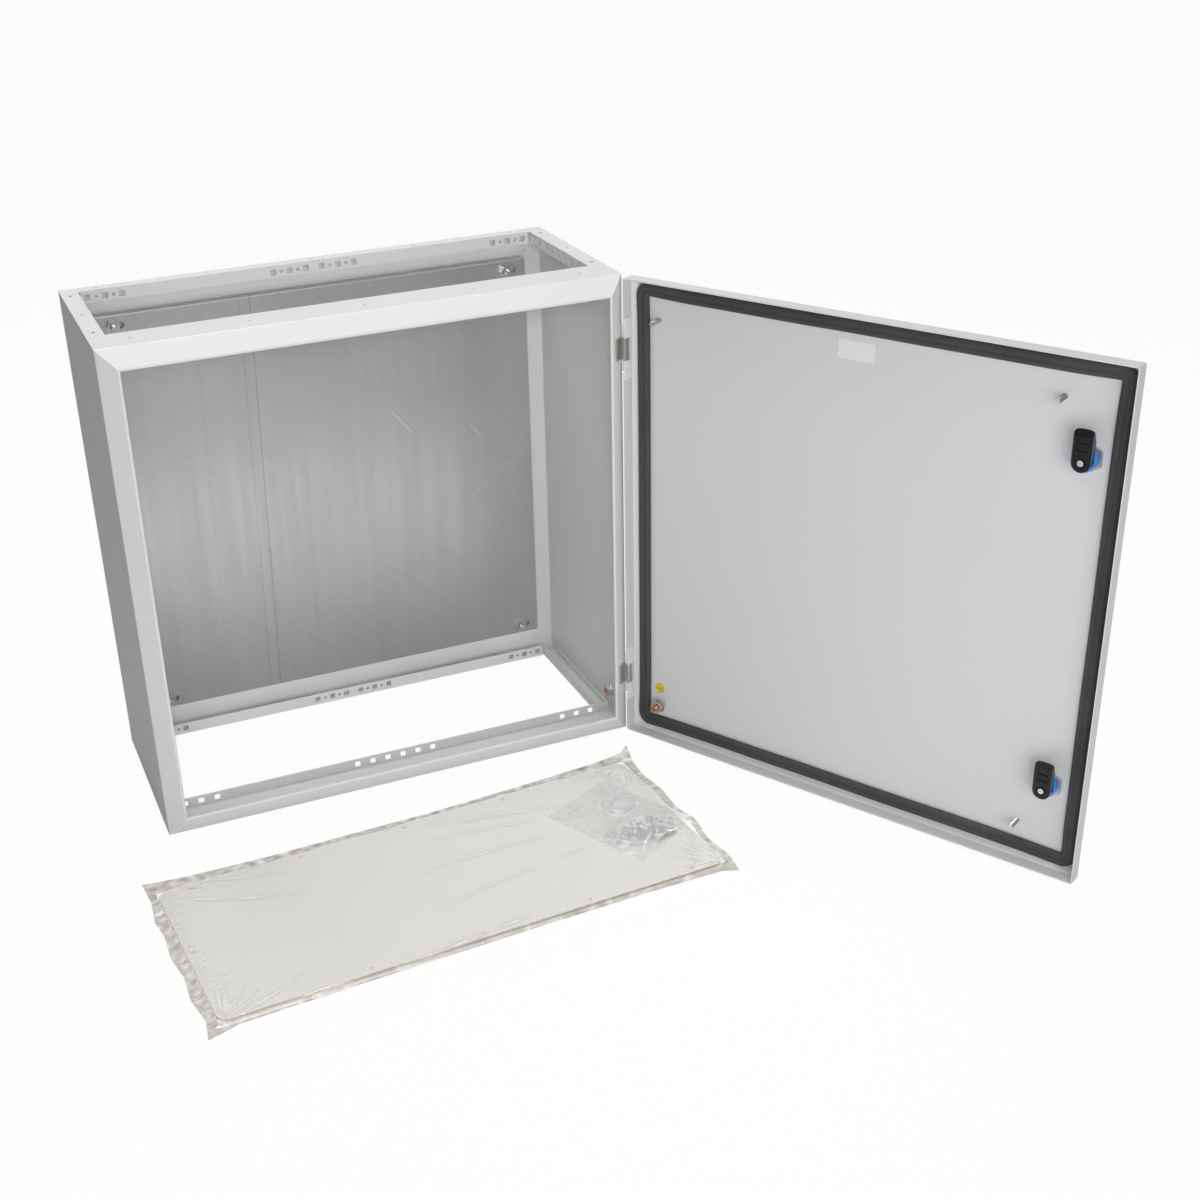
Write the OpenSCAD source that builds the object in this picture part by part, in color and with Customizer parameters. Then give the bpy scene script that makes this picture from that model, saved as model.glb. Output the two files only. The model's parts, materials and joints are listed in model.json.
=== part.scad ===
// Steel wall enclosure with a hinged door, drawn with the door swung open.
// Sizes are in millimetres. X runs left to right seen from the front,
// Y runs from the front to the wall, Z runs up. The origin is the middle
// of the four wall fixing holes, on the rear face.

/* [Body] */
// overall width of the body
body_w = 600; // [400:5:800]
// overall height of the body
body_h = 600; // [400:5:1000]
// depth of the body, from the front fold to the rear face
body_d = 250; // [200:5:300]
// thickness of the body sheet
sheet_t = 1.5; // [1.2:0.1:2.0]
// outer radius of the folds beside the rear wall
fold_r = 3; // [2:0.5:5]
// how far the slanted front flange leans in from the outline
flange_in = 22; // [20:0.5:24]
// how far the slanted flange of the bottom leans in from the outline
flange_low = 28; // [24:0.5:30]
// how far the sharp edge of the slanted flange would stand forward
flange_out = 20; // [18:0.5:20]
// outer radius of the fold between a wall and the slanted flange
edge_r = 2.5; // [2:0.1:4]
// outer radius of the nose at the end of the slanted flange
nose_r = 2; // [1.8:0.1:2.5]
// straight length of the lip behind the nose
lip_d = 0.8; // [0.3:0.1:1.5]
// distance of the wall fixing holes from the outline
fixing_inset = 25; // [20:1:40]
// radius of the wall fixing holes
fixing_r = 4.25; // [3:0.05:6]

/* [Gland openings] */
// width of the rim at the left and right of the opening
side_rim = 20; // [16:1:30]
// width of the rim between the front fold and the opening
front_rim = 49; // [35:1:60]
// width of the rim between the opening and the rear face
rear_rim = 17; // [14:1:30]
// depth of the folded edge round the opening
edge_d = 15; // [12:0.5:20]
// pitch of the perforation in the folded edge
perf_pitch = 20; // [16:1:25]
// side of a square perforation
perf_sq = 7; // [5:0.5:9]
// radius of a round perforation between two squares
perf_r = 1.9; // [1:0.1:2.5]
// distance of the perforation row from the outer face
perf_row = 8; // [7:0.5:10]
// radius of the corner holes in the side rims
rim_hole_r = 2.5; // [2:0.1:3.5]
// radius of the small tapped holes in the rims
tap_r = 1.7; // [1:0.1:2.5]
// distance of the outer tapped holes from the outline
tap_side = 42; // [36:1:60]

/* [Door] */
// opening angle at which the door is drawn
door_angle = 120; // [90:5:125]
// gap between the door and the ground under the body
door_low = 4.4; // [4:0.2:8]
// gap between the top of the door and the top of the body
door_high = 1.5; // [1:0.5:4]
// gap between the door edge and the outline at both sides
door_side = 0.5; // [0.5:0.5:2]
// distance of the door rim in front of the body fold
door_gap = 3.3; // [3.2:0.1:4]
// full depth of the door pan
door_d = 24.5; // [22:0.5:30]
// depth of the straight part of the door return
return_d = 16.5; // [14:0.5:18]
// width of the chamfer round the outer door face
chamfer_w = 9; // [8:0.5:14]
// thickness of the door sheet
door_t = 1.5; // [1.2:0.1:2.0]
// corner radius of the door pan
door_r = 2.5; // [1.5:0.5:4]
// distance of the gasket from the door outline
gasket_in = 7; // [6:0.5:9]
// width of the gasket
gasket_w = 17.5; // [14:0.5:20]
// height of the gasket above the door sheet
gasket_h = 7.4; // [5:0.2:7.4]
// outer corner radius of the gasket
gasket_r = 18; // [10:1:24]
// radius of a door stud
door_stud_r = 3; // [2.5:0.5:4]
// length of a door stud
door_stud_l = 17; // [10:1:20]

/* [Hinges] */
// distance of the hinge centres from the body ends
hinge_end = 86; // [70:1:120]
// distance of the hinge axis in front of the body fold
hinge_out = 9.5; // [9.5:0.1:11]
// outer radius of the hinge barrels
barrel_r = 3.8; // [3.4:0.1:4]
// radius of the hinge pin
pin_r = 2; // [1.5:0.1:2.2]
// running clearance of the pin in the door barrels
pin_gap = 0.05; // [0.02:0.01:0.1]
// length of the middle barrel on the body
mid_l = 26; // [20:1:30]
// length of each door barrel
end_l = 13.5; // [10:0.5:16]

/* [Locks] */
// distance of the lock axes from the free door edge
lock_in = 47; // [44:1:60]
// distance of the lock axes from the body ends
lock_end = 109; // [80:1:140]
// radius of the round lock body
lock_r = 12; // [9:0.5:13]
// size across the flats of the lock nut
lock_af = 28; // [27:0.5:30]
// reach of the cam from the lock axis
cam_reach = 35.5; // [34:0.5:42]
// width of the cam
cam_w = 20; // [16:0.5:22]
// thickness of the cam
cam_t = 9; // [6:0.5:9]

/* [Mounting plate] */
// distance of the mounting plate from the outline at the sides
plate_side = 27; // [20:1:40]
// distance of the mounting plate from the outline at the ends
plate_end = 37; // [35:1:50]
// how far the mounting plate stands above the middle of the body
plate_up = 4; // [0:0.5:6]
// thickness of the mounting plate
plate_t = 2; // [1.5:0.1:3]
// distance of the plate front from the rear face
plate_off = 14; // [13.5:0.5:30]
// depth of the folded plate edges
plate_fold = 10.5; // [6:0.5:11.5]
// distance of the plate studs from the outline at the sides
stud_side = 53.5; // [50:0.5:80]
// distance of the plate studs from the outline at the ends
stud_end = 50; // [50:1:80]
// radius of the plate studs
stud_r = 4; // [3:0.5:5]
// length of a stud in front of the plate
stud_out = 16; // [12:1:20]
// length of the plate slots
slot_l = 21; // [18:1:28]
// height of the plate slots
slot_h = 9; // [8.2:0.2:12]
// how far the slots are off the studs
slot_shift = 3.5; // [0:0.5:5]

/* [Loose gland plates] */
// play of a gland plate inside the body outline
gland_play = 2.5; // [1:0.5:5]
// thickness of a gland plate
gland_t = 1.25; // [1:0.05:1.3]
// thickness of the seal between the plates
seal_t = 1; // [0.5:0.1:1.1]
// radius of the gland plate corners
gland_r = 12; // [5:1:20]
// turn of the plates on the ground
gland_turn = 3.5; // [0:0.5:5]

/* [Hidden] */

$fn = 32;
eps = 0.01;
// weld gap between two sheets that meet
weld = 0.05;
// inner face of the rear wall
rear_in = body_d - sheet_t;
// edges of the gland openings
ox0 = side_rim;
ox1 = body_w - side_rim;
oy0 = front_rim;
oy1 = body_d - rear_rim;
oym = (oy0 + oy1) / 2;
tap_pitch = (body_w - 2 * tap_side) / 4;
// slope of the front flange
slope_a = atan2(flange_out, flange_in);
// centre of the fold between a wall and a flange of slope a
function edge_at(a) = [edge_r, edge_r * (1 - sin(a)) / cos(a)];
// centres of the fold at the wall and of the nose
edge_c = edge_at(slope_a);
nose_x = flange_in - nose_r;
nose_c = [nose_x, (nose_r - nose_x * sin(slope_a)) / cos(slope_a)];
// slope of the lower flange, whose nose stands in the same plane
low_run = flange_low - nose_r;
slope_b = atan2(-nose_c[1], low_run) + asin(nose_r / norm([low_run, nose_c[1]]));
lip_end = nose_c[1] + lip_d;
// door outline in the closed position
dx0 = door_side;
dx1 = body_w - door_side;
dz0 = door_low;
dz1 = body_h - door_high;
door_w = dx1 - dx0;
door_h = dz1 - dz0;
// planes of the door in the closed position
rim_y = -door_gap;
face_y = rim_y - door_d;
skin_y = face_y + door_t;
// rim of the low edge, held back from the slope of the front flange
low_rim_y = min(rim_y, -(door_low + door_t) * tan(slope_b) - 0.6);
// edges of the groove in the gasket
groove_a = gasket_in + gasket_w * 0.52;
groove_b = gasket_in + gasket_w * 0.64;
// hinge axis
hx = body_w;
hy = -hinge_out;
hinge_z = [hinge_end, body_h - hinge_end];
hinge_l = mid_l / 2 + end_l + 0.3;
// lock axes and planes in the closed position
lx = dx0 + lock_in;
lock_lo = lock_end;
lock_hi = body_h - lock_end;
nut_t = 5;
cam_y = lip_end + 0.8;
barrel_end = cam_y - 0.2;
// end of the square that carries the cam
core_end = cam_y + cam_t - 3;
nose_run = 14;
cam_tip = 3;
// mounting plate outline and planes
plate_w = body_w - 2 * plate_side;
plate_h = body_h - 2 * plate_end;
plate_y = body_d - plate_off;
plate_back = plate_y + plate_t;
stud_x = [stud_side, body_w - stud_side];
stud_z = [stud_end + plate_up, body_h - stud_end + plate_up];
washer_t = 1.6;
plate_nut_t = 6.5;
plate_nut_af = 13;
// size and place of the loose plates
gland_w = body_w - 2 * gland_play;
gland_d = body_d - 2;
gland_x = -38;
gland_y = -119;
seal_z = gland_t;
upper_z = gland_t + seal_t;

// ---- helpers ----

// moves the drawing corner to the origin of the finished part
module place() {
    translate([-body_w / 2, -body_d, -body_h / 2])
        children();
}

// swings the closed door to its drawn angle
module swing() {
    translate([hx, hy, 0])
        rotate([0, 0, door_angle])
            translate([-hx, -hy, 0])
                children();
}

// stands a flat outline up so that it grows to the front from plane y
module upright(y) {
    translate([0, y, 0])
        rotate([90, 0, 0])
            children();
}

// rectangle with round corners, low corner at the origin
module round_rect(w, h, r) {
    translate([r, 0])
        square([w - 2 * r, h]);
    translate([0, r])
        square([w, h - 2 * r]);
    for (x = [r, w - r]) {
        for (y = [r, h - r]) {
            translate([x, y])
                circle(r = r, $fn = 24);
        }
    }
}

// regular hexagon prism by its size across the flats
module hex(af, h) {
    cylinder(r = af / 2 / cos(30), h = h, $fn = 6);
}

// cylinder along Y that ends at plane y and has length l to the front
module rod_y(x, y, z, r, l, n = 32) {
    translate([x, y, z])
        rotate([90, 0, 0])
            cylinder(r = r, h = l, $fn = n);
}

// ---- body ----

// ring of folded sheet, kept below the X axis and on side s of a slope a
module bend(r, s, a) {
    far = 4 * r;
    intersection() {
        difference() {
            circle(r = r, $fn = 48);
            circle(r = r - sheet_t, $fn = 48);
        }
        translate([-far, -far])
            square([2 * far, far]);
        rotate(-a)
            translate([(s - 1) / 2 * far, -far])
                square([far, 2 * far]);
    }
}

// section of a slanted flange of slope a: fold, slope, nose and lip
module flange_section(a, run) {
    e = edge_at(a);
    l = (run - e[0]) * cos(a) - (nose_c[1] - e[1]) * sin(a);
    translate(e) {
        bend(edge_r, -1, a);
        rotate(-a) {
            translate([0, -edge_r])
                square([l, sheet_t]);
            translate([l, nose_r - edge_r])
                rotate(a) {
                    bend(nose_r, 1, a);
                    translate([nose_r - sheet_t, 0])
                        square([sheet_t, lip_d]);
                }
        }
    }
}

// quarter bend at the rear left corner
module rear_bend() {
    translate([fold_r, body_d - fold_r])
        difference() {
            circle(r = fold_r, $fn = 32);
            circle(r = fold_r - sheet_t, $fn = 32);
            translate([0, -2 * fold_r])
                square(4 * fold_r);
            translate([-2 * fold_r, -4 * fold_r])
                square(4 * fold_r);
        }
}

// rise of the lower mitre for each millimetre along the bottom
low_pitch = flange_low / flange_in;

// wedges that mitre the flange of the side walls at both ends
module mitre_cut() {
    upright(edge_c[1])
        linear_extrude(height = flange_out + 4)
            for (m = [0, 1]) {
                translate([m * body_w, 0])
                    mirror([m, 0]) {
                        polygon([
                            [-1, -3],
                            [flange_in + 9, -3],
                            [flange_in + 9, (flange_in + 9) * low_pitch + weld],
                            [-1, weld - low_pitch]
                        ]);
                        polygon([
                            [-1, body_h + 1],
                            [flange_in + 9, body_h + 1],
                            [flange_in + 9, body_h - flange_in - 9 - weld],
                            [-1, body_h + 1 - weld]
                        ]);
                    }
            }
}

// both side walls and the rear wall, folded from one sheet
module wall_section() {
    for (m = [0, 1]) {
        translate([m * body_w, 0])
            mirror([m, 0]) {
                polygon([
                    [0, edge_c[1]],
                    [sheet_t, edge_c[1]],
                    [sheet_t, body_d - fold_r],
                    [0, body_d - fold_r]
                ]);
                rear_bend();
            }
    }
    translate([fold_r, rear_in])
        square([body_w - 2 * fold_r, sheet_t]);
}

module body_wrapper() {
    color([0.80, 0.80, 0.79])
        place()
            difference() {
                linear_extrude(height = body_h) {
                    wall_section();
                    for (m = [0, 1]) {
                        translate([m * body_w, 0])
                            mirror([m, 0])
                                flange_section(slope_a, nose_x);
                    }
                }
                mitre_cut();
                // room for the sheets of the top and bottom frames
                for (z = [-1, body_h - sheet_t - weld]) {
                    translate([-1, edge_c[1], z])
                        cube([body_w + 2, body_d, sheet_t + weld + 1]);
                }
                for (x = [fixing_inset, body_w - fixing_inset]) {
                    for (z = [fixing_inset, body_h - fixing_inset]) {
                        rod_y(x, body_d + 1, z, fixing_r, sheet_t + 2);
                    }
                }
            }
}

// perforation of one front or rear edge, cut along Y; dots asks for the round holes
module perf_long(y, dots) {
    // middles of the outer groups, measured from the middle of the body
    far = ox1 - body_w / 2;
    zc = body_h - perf_row;
    for (s = [-1, 1]) {
        for (i = [0, 1, 2]) {
            for (u = [(i + 0.5) * perf_pitch, far - (i + 0.5) * perf_pitch]) {
                translate([body_w / 2 + s * u - perf_sq / 2, y - 3, zc - perf_sq / 2])
                    cube([perf_sq, 6, perf_sq]);
            }
        }
        if (dots) {
            for (i = [1, 2]) {
                for (u = [i * perf_pitch, far - i * perf_pitch]) {
                    rod_y(body_w / 2 + s * u, y + 3, zc, perf_r, 6, 16);
                }
            }
        }
    }
}

// perforation of one side edge, cut along X
module perf_side(x) {
    for (i = [-4:4]) {
        translate([x - 3, oym + i * perf_pitch - perf_sq / 2, body_h - perf_row - perf_sq / 2])
            cube([6, perf_sq, perf_sq]);
    }
    for (i = [-3.5, -2.5, -0.5, 0.5, 2.5, 3.5]) {
        translate([x - 3, oym + i * perf_pitch, body_h - perf_row])
            rotate([0, 90, 0])
                cylinder(r = perf_r, h = 6, $fn = 16);
    }
}

// slanted flange along the top, before mitring
module flange_bar(a, run) {
    rotate([90, 0, 90])
        linear_extrude(height = body_w)
            translate([0, body_h])
                rotate(-90)
                    flange_section(a, run);
}

// wedges that mitre a flange that leans in by lean, at both ends
module bar_cut(lean) {
    q = lean / flange_in;
    w = flange_in + 9;
    upright(edge_c[1] + 1)
        linear_extrude(height = flange_out + 5)
            for (m = [0, 1]) {
                translate([m * body_w, 0])
                    mirror([m, 0])
                        polygon([
                            [-2, body_h + 2 * q],
                            [w, body_h - w * q],
                            [-2, body_h - w * q]
                        ]);
            }
}

// top of the body with its perforated gland opening; its flange of slope a leans in by lean
module frame_shape(a, lean) {
    e = edge_at(a);
    difference() {
        union() {
            translate([0, e[1], body_h - sheet_t])
                cube([body_w, body_d - e[1], sheet_t]);
            difference() {
                flange_bar(a, lean - nose_r);
                bar_cut(lean);
            }
            // folded edges round the opening
            for (y = [oy0 - sheet_t, oy1]) {
                translate([ox0 + 2.5, y, body_h - edge_d])
                    cube([ox1 - ox0 - 5, sheet_t, edge_d]);
            }
            for (x = [ox0 - sheet_t, ox1]) {
                translate([x, oy0 + 2.5, body_h - edge_d])
                    cube([sheet_t, oy1 - oy0 - 5, edge_d]);
            }
            // lugs beside the front edge
            for (x = [sheet_t + 2, body_w - side_rim + sheet_t + 1]) {
                translate([x, oy0 - sheet_t, body_h - edge_d])
                    cube([side_rim - 2 * sheet_t - 3, sheet_t, edge_d]);
            }
            // skirts inside the side walls
            for (x = [sheet_t + weld, body_w - 2 * sheet_t - weld]) {
                translate([x, oy0 + 6, body_h - 9])
                    cube([sheet_t, oy1 - oy0 - 12, 9]);
            }
        }
        translate([ox0, oy0, body_h - sheet_t - 1])
            cube([ox1 - ox0, oy1 - oy0, sheet_t + 2]);
        perf_long(oy0 - sheet_t / 2, false);
        perf_long(oy1 + sheet_t / 2, true);
        perf_side(ox0 - sheet_t / 2);
        perf_side(ox1 + sheet_t / 2);
        for (x = [side_rim / 2, body_w - side_rim / 2]) {
            for (s = [-1, 1]) {
                translate([x, oym + s * (oym - oy0 - 13.5), body_h - sheet_t - 1])
                    cylinder(r = rim_hole_r, h = sheet_t + 2, $fn = 24);
            }
            translate([x, oym - 4, body_h - sheet_t - 1])
                cylinder(r = tap_r, h = sheet_t + 2, $fn = 16);
            rod_y(x, oy0 + 1, body_h - perf_row - 1, tap_r, sheet_t + 2, 16);
        }
        for (i = [-2:2]) {
            for (y = [front_rim / 2, body_d - rear_rim / 2]) {
                translate([body_w / 2 + i * tap_pitch, y, body_h - sheet_t - 1])
                    cylinder(r = tap_r, h = sheet_t + 2, $fn = 16);
            }
        }
    }
}

module top_frame() {
    color([0.86, 0.86, 0.85])
        place()
            frame_shape(slope_a, flange_in);
}

module bottom_frame() {
    color([0.82, 0.82, 0.81])
        place()
            translate([0, 0, body_h])
                mirror([0, 0, 1])
                    frame_shape(slope_b, flange_low);
}

// ---- hinges ----

// leaf and barrel of a body bracket, seen from above
module bracket_plan() {
    // distance of the axis along and off the slope of the flange
    a = hinge_out * sin(slope_a);
    b = hinge_out * cos(slope_a);
    translate([body_w, 0])
        rotate(180 + slope_a)
            translate([a, b]) {
                circle(r = barrel_r, $fn = 40);
                translate([barrel_r - 2, -b])
                    square([2, b]);
                translate([barrel_r - 2, -b])
                    square([11, 2]);
            }
}

module hinge_brackets() {
    color([0.66, 0.67, 0.68])
        place()
            for (z = hinge_z) {
                difference() {
                    translate([0, 0, z - mid_l / 2])
                        linear_extrude(height = mid_l)
                            bracket_plan();
                    translate([hx, hy, z - mid_l])
                        cylinder(r = pin_r + 0.01, h = 2 * mid_l, $fn = 32);
                }
            }
}

module hinge_pins() {
    color([0.72, 0.72, 0.73])
        place()
            for (z = hinge_z) {
                translate([hx, hy, z - hinge_l]) {
                    cylinder(r = pin_r, h = 2 * hinge_l, $fn = 32);
                    translate([0, 0, 2 * hinge_l])
                        cylinder(r1 = pin_r, r2 = pin_r * 0.5, h = 1.2, $fn = 32);
                }
            }
}

module door_knuckles() {
    color([0.84, 0.84, 0.83])
        place()
            swing()
                for (z = hinge_z) {
                    for (s = [0, 1]) {
                        translate([0, 0, z])
                            mirror([0, 0, s])
                                difference() {
                                    union() {
                                        translate([hx, hy, mid_l / 2 + 0.3])
                                            cylinder(r = barrel_r, h = end_l, $fn = 40);
                                        translate([dx1 - door_t - 1.6, hy - 6.5, mid_l / 2 + 0.3])
                                            cube([1.6, 12, end_l + 10]);
                                    }
                                    translate([hx, hy, mid_l / 2 - 1])
                                        cylinder(r = pin_r + pin_gap, h = end_l + 2, $fn = 32);
                                }
                    }
                }
}

// ---- door ----

// block of a pan with sloped edges, closed: inset a all round, depth from
// the plane y, straight part s, full depth d and slope width c
module pan_block(a, y, s, d, c, r) {
    w = door_w - 2 * a;
    h = door_h - 2 * a;
    translate([dx0 + a, 0, dz0 + a])
        intersection() {
            upright(y)
                linear_extrude(height = d)
                    round_rect(w, h, r);
            linear_extrude(height = h)
                polygon([
                    [0, y],
                    [w, y],
                    [w, y - s],
                    [w - c, y - d],
                    [c, y - d],
                    [0, y - s]
                ]);
            rotate([90, 0, 90])
                linear_extrude(height = w)
                    polygon([
                        [y, 0],
                        [y, h],
                        [y - s, h],
                        [y - d, h - c],
                        [y - d, c],
                        [y - s, 0]
                    ]);
        }
}

// outer form of the door pan
module pan_outer() {
    pan_block(0, rim_y, return_d, door_d, chamfer_w, door_r);
}

// hollow of the door pan, one sheet inside the outer form
module pan_inner() {
    ca = atan2(door_d - return_d, chamfer_w);
    // drop of the slope line when it moves in by one sheet
    lift = door_t * (1 - sin(ca)) / cos(ca);
    d = door_d - door_t;
    s = return_d - lift;
    pan_block(door_t, rim_y + 1, s + 1, d + 1, (d - s) / tan(ca), door_r - door_t * 0.6);
}

module door_panel() {
    color([0.87, 0.87, 0.86])
        place()
            swing()
                difference() {
                    pan_outer();
                    pan_inner();
                    translate([dx0 - 1, low_rim_y, dz0 - 1])
                        cube([door_w + 2, rim_y - low_rim_y + 1, door_t + 1.5]);
                    for (z = hinge_z) {
                        translate([dx1 - door_t - 1, hy - 6, z - hinge_l - 2])
                            cube([door_t + 2, hinge_out + 8, 2 * hinge_l + 4]);
                    }
                    for (z = [lock_lo, lock_hi]) {
                        rod_y(lx, skin_y + 1, z, lock_r + 0.05, door_t + 2, 40);
                    }
                }
}

// flat outline of the gasket ring
module gasket_ring(a, b, r) {
    difference() {
        translate([dx0 + a, dz0 + a])
            round_rect(door_w - 2 * a, door_h - 2 * a, r);
        translate([dx0 + b, dz0 + b])
            round_rect(door_w - 2 * b, door_h - 2 * b, max(r - (b - a), 5));
    }
}

module door_gasket() {
    color([0.24, 0.24, 0.25])
        place()
            swing()
                difference() {
                    intersection() {
                        upright(skin_y + gasket_h)
                            linear_extrude(height = gasket_h)
                                gasket_ring(gasket_in, gasket_in + gasket_w, gasket_r);
                        pan_inner();
                    }
                    // groove between the two ridges
                    upright(skin_y + gasket_h + 1)
                        linear_extrude(height = 2.2)
                            gasket_ring(groove_a, groove_b, gasket_r * 0.6);
                }
}

// distances of the plain studs from the free edge and from the low edge
module door_studs() {
    color([0.70, 0.70, 0.71])
        place()
            swing() {
                rod_y(dx1 - 35.5, skin_y + door_stud_l, dz1 - 50, door_stud_r, door_stud_l, 24);
                rod_y(dx0 + 78.5, skin_y + door_stud_l, dz1 - 50, door_stud_r, door_stud_l, 24);
                rod_y(dx0 + 78.5, skin_y + door_stud_l, dz0 + 44, door_stud_r, door_stud_l, 24);
            }
}

module door_earth_stud() {
    color([0.76, 0.48, 0.34])
        place()
            swing()
                rod_y(dx1 - 39, skin_y + 19, dz0 + 40, 4, 19, 32);
}

module door_earth_nuts() {
    color([0.74, 0.74, 0.74])
        place()
            swing()
                translate([dx1 - 39, 0, dz0 + 40])
                    upright(skin_y)
                        translate([0, 0, -13.5])
                            difference() {
                                union() {
                                    hex(13, 6);
                                    translate([0, 0, 6])
                                        cylinder(r = 9, h = 1.5, $fn = 36);
                                    translate([0, 0, 7.5])
                                        hex(13, 6);
                                }
                                translate([0, 0, -1])
                                    cylinder(r = 4.02, h = 16, $fn = 32);
                            }
}

module earth_label() {
    color([0.90, 0.85, 0.10])
        place()
            swing()
                rod_y(dx1 - 36.5, skin_y + 0.3, dz0 + 62, 6.8, 0.3, 36);
}

module rating_label() {
    color([0.95, 0.95, 0.94])
        place()
            swing()
                translate([dx1 - 311, skin_y, dz1 - 53.5])
                    cube([44, 0.3, 21]);
}

// ---- locks ----

// outer collar of a lock, on the outer face of the door
module lock_collars() {
    color([0.68, 0.69, 0.70])
        place()
            swing()
                for (z = [lock_lo, lock_hi]) {
                    difference() {
                        translate([lx, face_y, z])
                            rotate([90, 0, 0])
                                cylinder(r1 = lock_r + 4, r2 = lock_r + 3, h = 2.5, $fn = 48);
                        rod_y(lx, face_y + 1, z, lock_r - 1, 5, 40);
                    }
                }
}

// round body of a lock through the door sheet
module lock_barrels() {
    color([0.20, 0.42, 0.66])
        place()
            swing()
                for (z = [lock_lo, lock_hi]) {
                    difference() {
                        rod_y(lx, barrel_end, z, lock_r, barrel_end - face_y, 40);
                        rod_y(lx, barrel_end + 1, z, 5.05, barrel_end - face_y + 2, 32);
                        rod_y(lx, face_y + 5, z, 8.6, 6, 32);
                    }
                }
}

module lock_nuts() {
    color([0.72, 0.72, 0.73])
        place()
            swing()
                for (z = [lock_lo, lock_hi]) {
                    translate([lx, 0, z])
                        upright(skin_y + nut_t)
                            difference() {
                                rotate(30)
                                    hex(lock_af, nut_t);
                                translate([0, 0, -1])
                                    cylinder(r = lock_r + 0.02, h = nut_t + 2, $fn = 40);
                            }
                }
}

// turning core of a lock, with the key recess outside and a square end inside
module lock_core(z) {
    difference() {
        union() {
            rod_y(lx, barrel_end, z, 5, barrel_end - face_y - 4, 32);
            rod_y(lx, face_y + 4.9, z, 8.5, 4.9, 32);
            translate([lx - 3.5, barrel_end - eps, z - 3.5])
                cube([7, core_end - barrel_end + eps, 7]);
        }
        rod_y(lx, core_end + 1, z, 1.6, 6, 24);
        difference() {
            rod_y(lx, face_y + 3, z, 6, 5, 32);
            rod_y(lx, face_y + 4, z, 2.4, 4.2, 24);
            translate([lx - 4.6, face_y - 0.2, z - 1])
                cube([9.2, 4, 2]);
        }
    }
}

// cam of a lock pointing up, with its sloped nose
module lock_cam(z) {
    difference() {
        translate([lx, cam_y, z])
            rotate([0, -90, 0])
                rotate([90, 0, 0])
                    translate([0, 0, -cam_t])
                        cam_body();
        translate([lx - 3.55, cam_y - 1, z - 3.55])
            cube([7.1, core_end - cam_y + 1.1, 7.1]);
        rod_y(lx, cam_y + cam_t + 1, z, 1.6, 4, 24);
        rod_y(lx, cam_y + cam_t + 1, z, 5.5, 2.5, 36);
    }
}

// wedge cut across the cam, drawn in its length and thickness
module cam_wedge(x, outline) {
    translate([x, cam_w, 0])
        rotate([90, 0, 0])
            linear_extrude(height = 2 * cam_w)
                polygon(outline);
}

// cam lying down: length along X, axis at the origin
module cam_body() {
    r = 3;
    corner = cam_reach - r - 1;
    difference() {
        intersection() {
            union() {
                cylinder(r = cam_w / 2, h = cam_t, $fn = 40);
                translate([0, -cam_w / 2, 0])
                    cube([corner, cam_w, cam_t]);
                translate([corner - eps, r - cam_w / 2, 0])
                    cube([r + 1 + eps, cam_w - 2 * r, cam_t]);
                for (s = [-1, 1]) {
                    translate([corner, s * (cam_w / 2 - r), 0])
                        cylinder(r = r, h = cam_t, $fn = 24);
                }
            }
            // arc of the tip
            cylinder(r = cam_reach, h = cam_t, $fn = 96);
        }
        // slope that follows the inside of the front flange
        cam_wedge(cam_reach - nose_run, [
            [0, cam_t + 1],
            [0, cam_t],
            [nose_run, cam_tip],
            [nose_run + 1, cam_tip],
            [nose_run + 1, cam_t + 1]
        ]);
        // bevel on the inner face of the tip
        cam_wedge(cam_reach - 8, [[0, -1], [0, 0], [8, 1.5], [9, 1.5], [9, -1]]);
        // two shallow recesses
        for (x = [cam_w / 2 + 2, cam_w / 2 + 10]) {
            translate([x, 4 - cam_w / 2, -1])
                cube([6.5, cam_w - 8, 2.2]);
        }
    }
}

module cam_screw(z) {
    translate([lx, cam_y + cam_t - 1.5, z])
        rotate([-90, 0, 0])
            difference() {
                union() {
                    cylinder(r1 = 4, r2 = 3.2, h = 2.6, $fn = 36);
                    translate([0, 0, -4.5])
                        cylinder(r = 1.5, h = 4.6, $fn = 24);
                }
                translate([-0.4, -2.3, 1.5])
                    cube([0.8, 4.6, 2]);
                translate([-2.3, -0.4, 1.5])
                    cube([4.6, 0.8, 2]);
            }
}

module upper_lock_spindle() {
    color([0.62, 0.62, 0.63])
        place()
            swing()
                lock_core(lock_hi);
}

module lower_lock_spindle() {
    color([0.62, 0.62, 0.63])
        place()
            swing()
                lock_core(lock_lo);
}

module upper_lock_cam() {
    color([0.10, 0.10, 0.11])
        place()
            swing()
                lock_cam(lock_hi);
}

module lower_lock_cam() {
    color([0.10, 0.10, 0.11])
        place()
            swing()
                lock_cam(lock_lo);
}

module upper_cam_screw() {
    color([0.75, 0.75, 0.76])
        place()
            swing()
                cam_screw(lock_hi);
}

module lower_cam_screw() {
    color([0.75, 0.75, 0.76])
        place()
            swing()
                cam_screw(lock_lo);
}

// ---- mounting plate ----

// one slot through the plate, centred at x and z
module plate_slot(x, z) {
    run = slot_l - slot_h;
    translate([x - run / 2, plate_y - 1, z - slot_h / 2])
        cube([run, plate_t + 2, slot_h]);
    for (s = [-1, 1]) {
        rod_y(x + s * run / 2, plate_back + 1, z, slot_h / 2, plate_t + 2, 32);
    }
}

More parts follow.
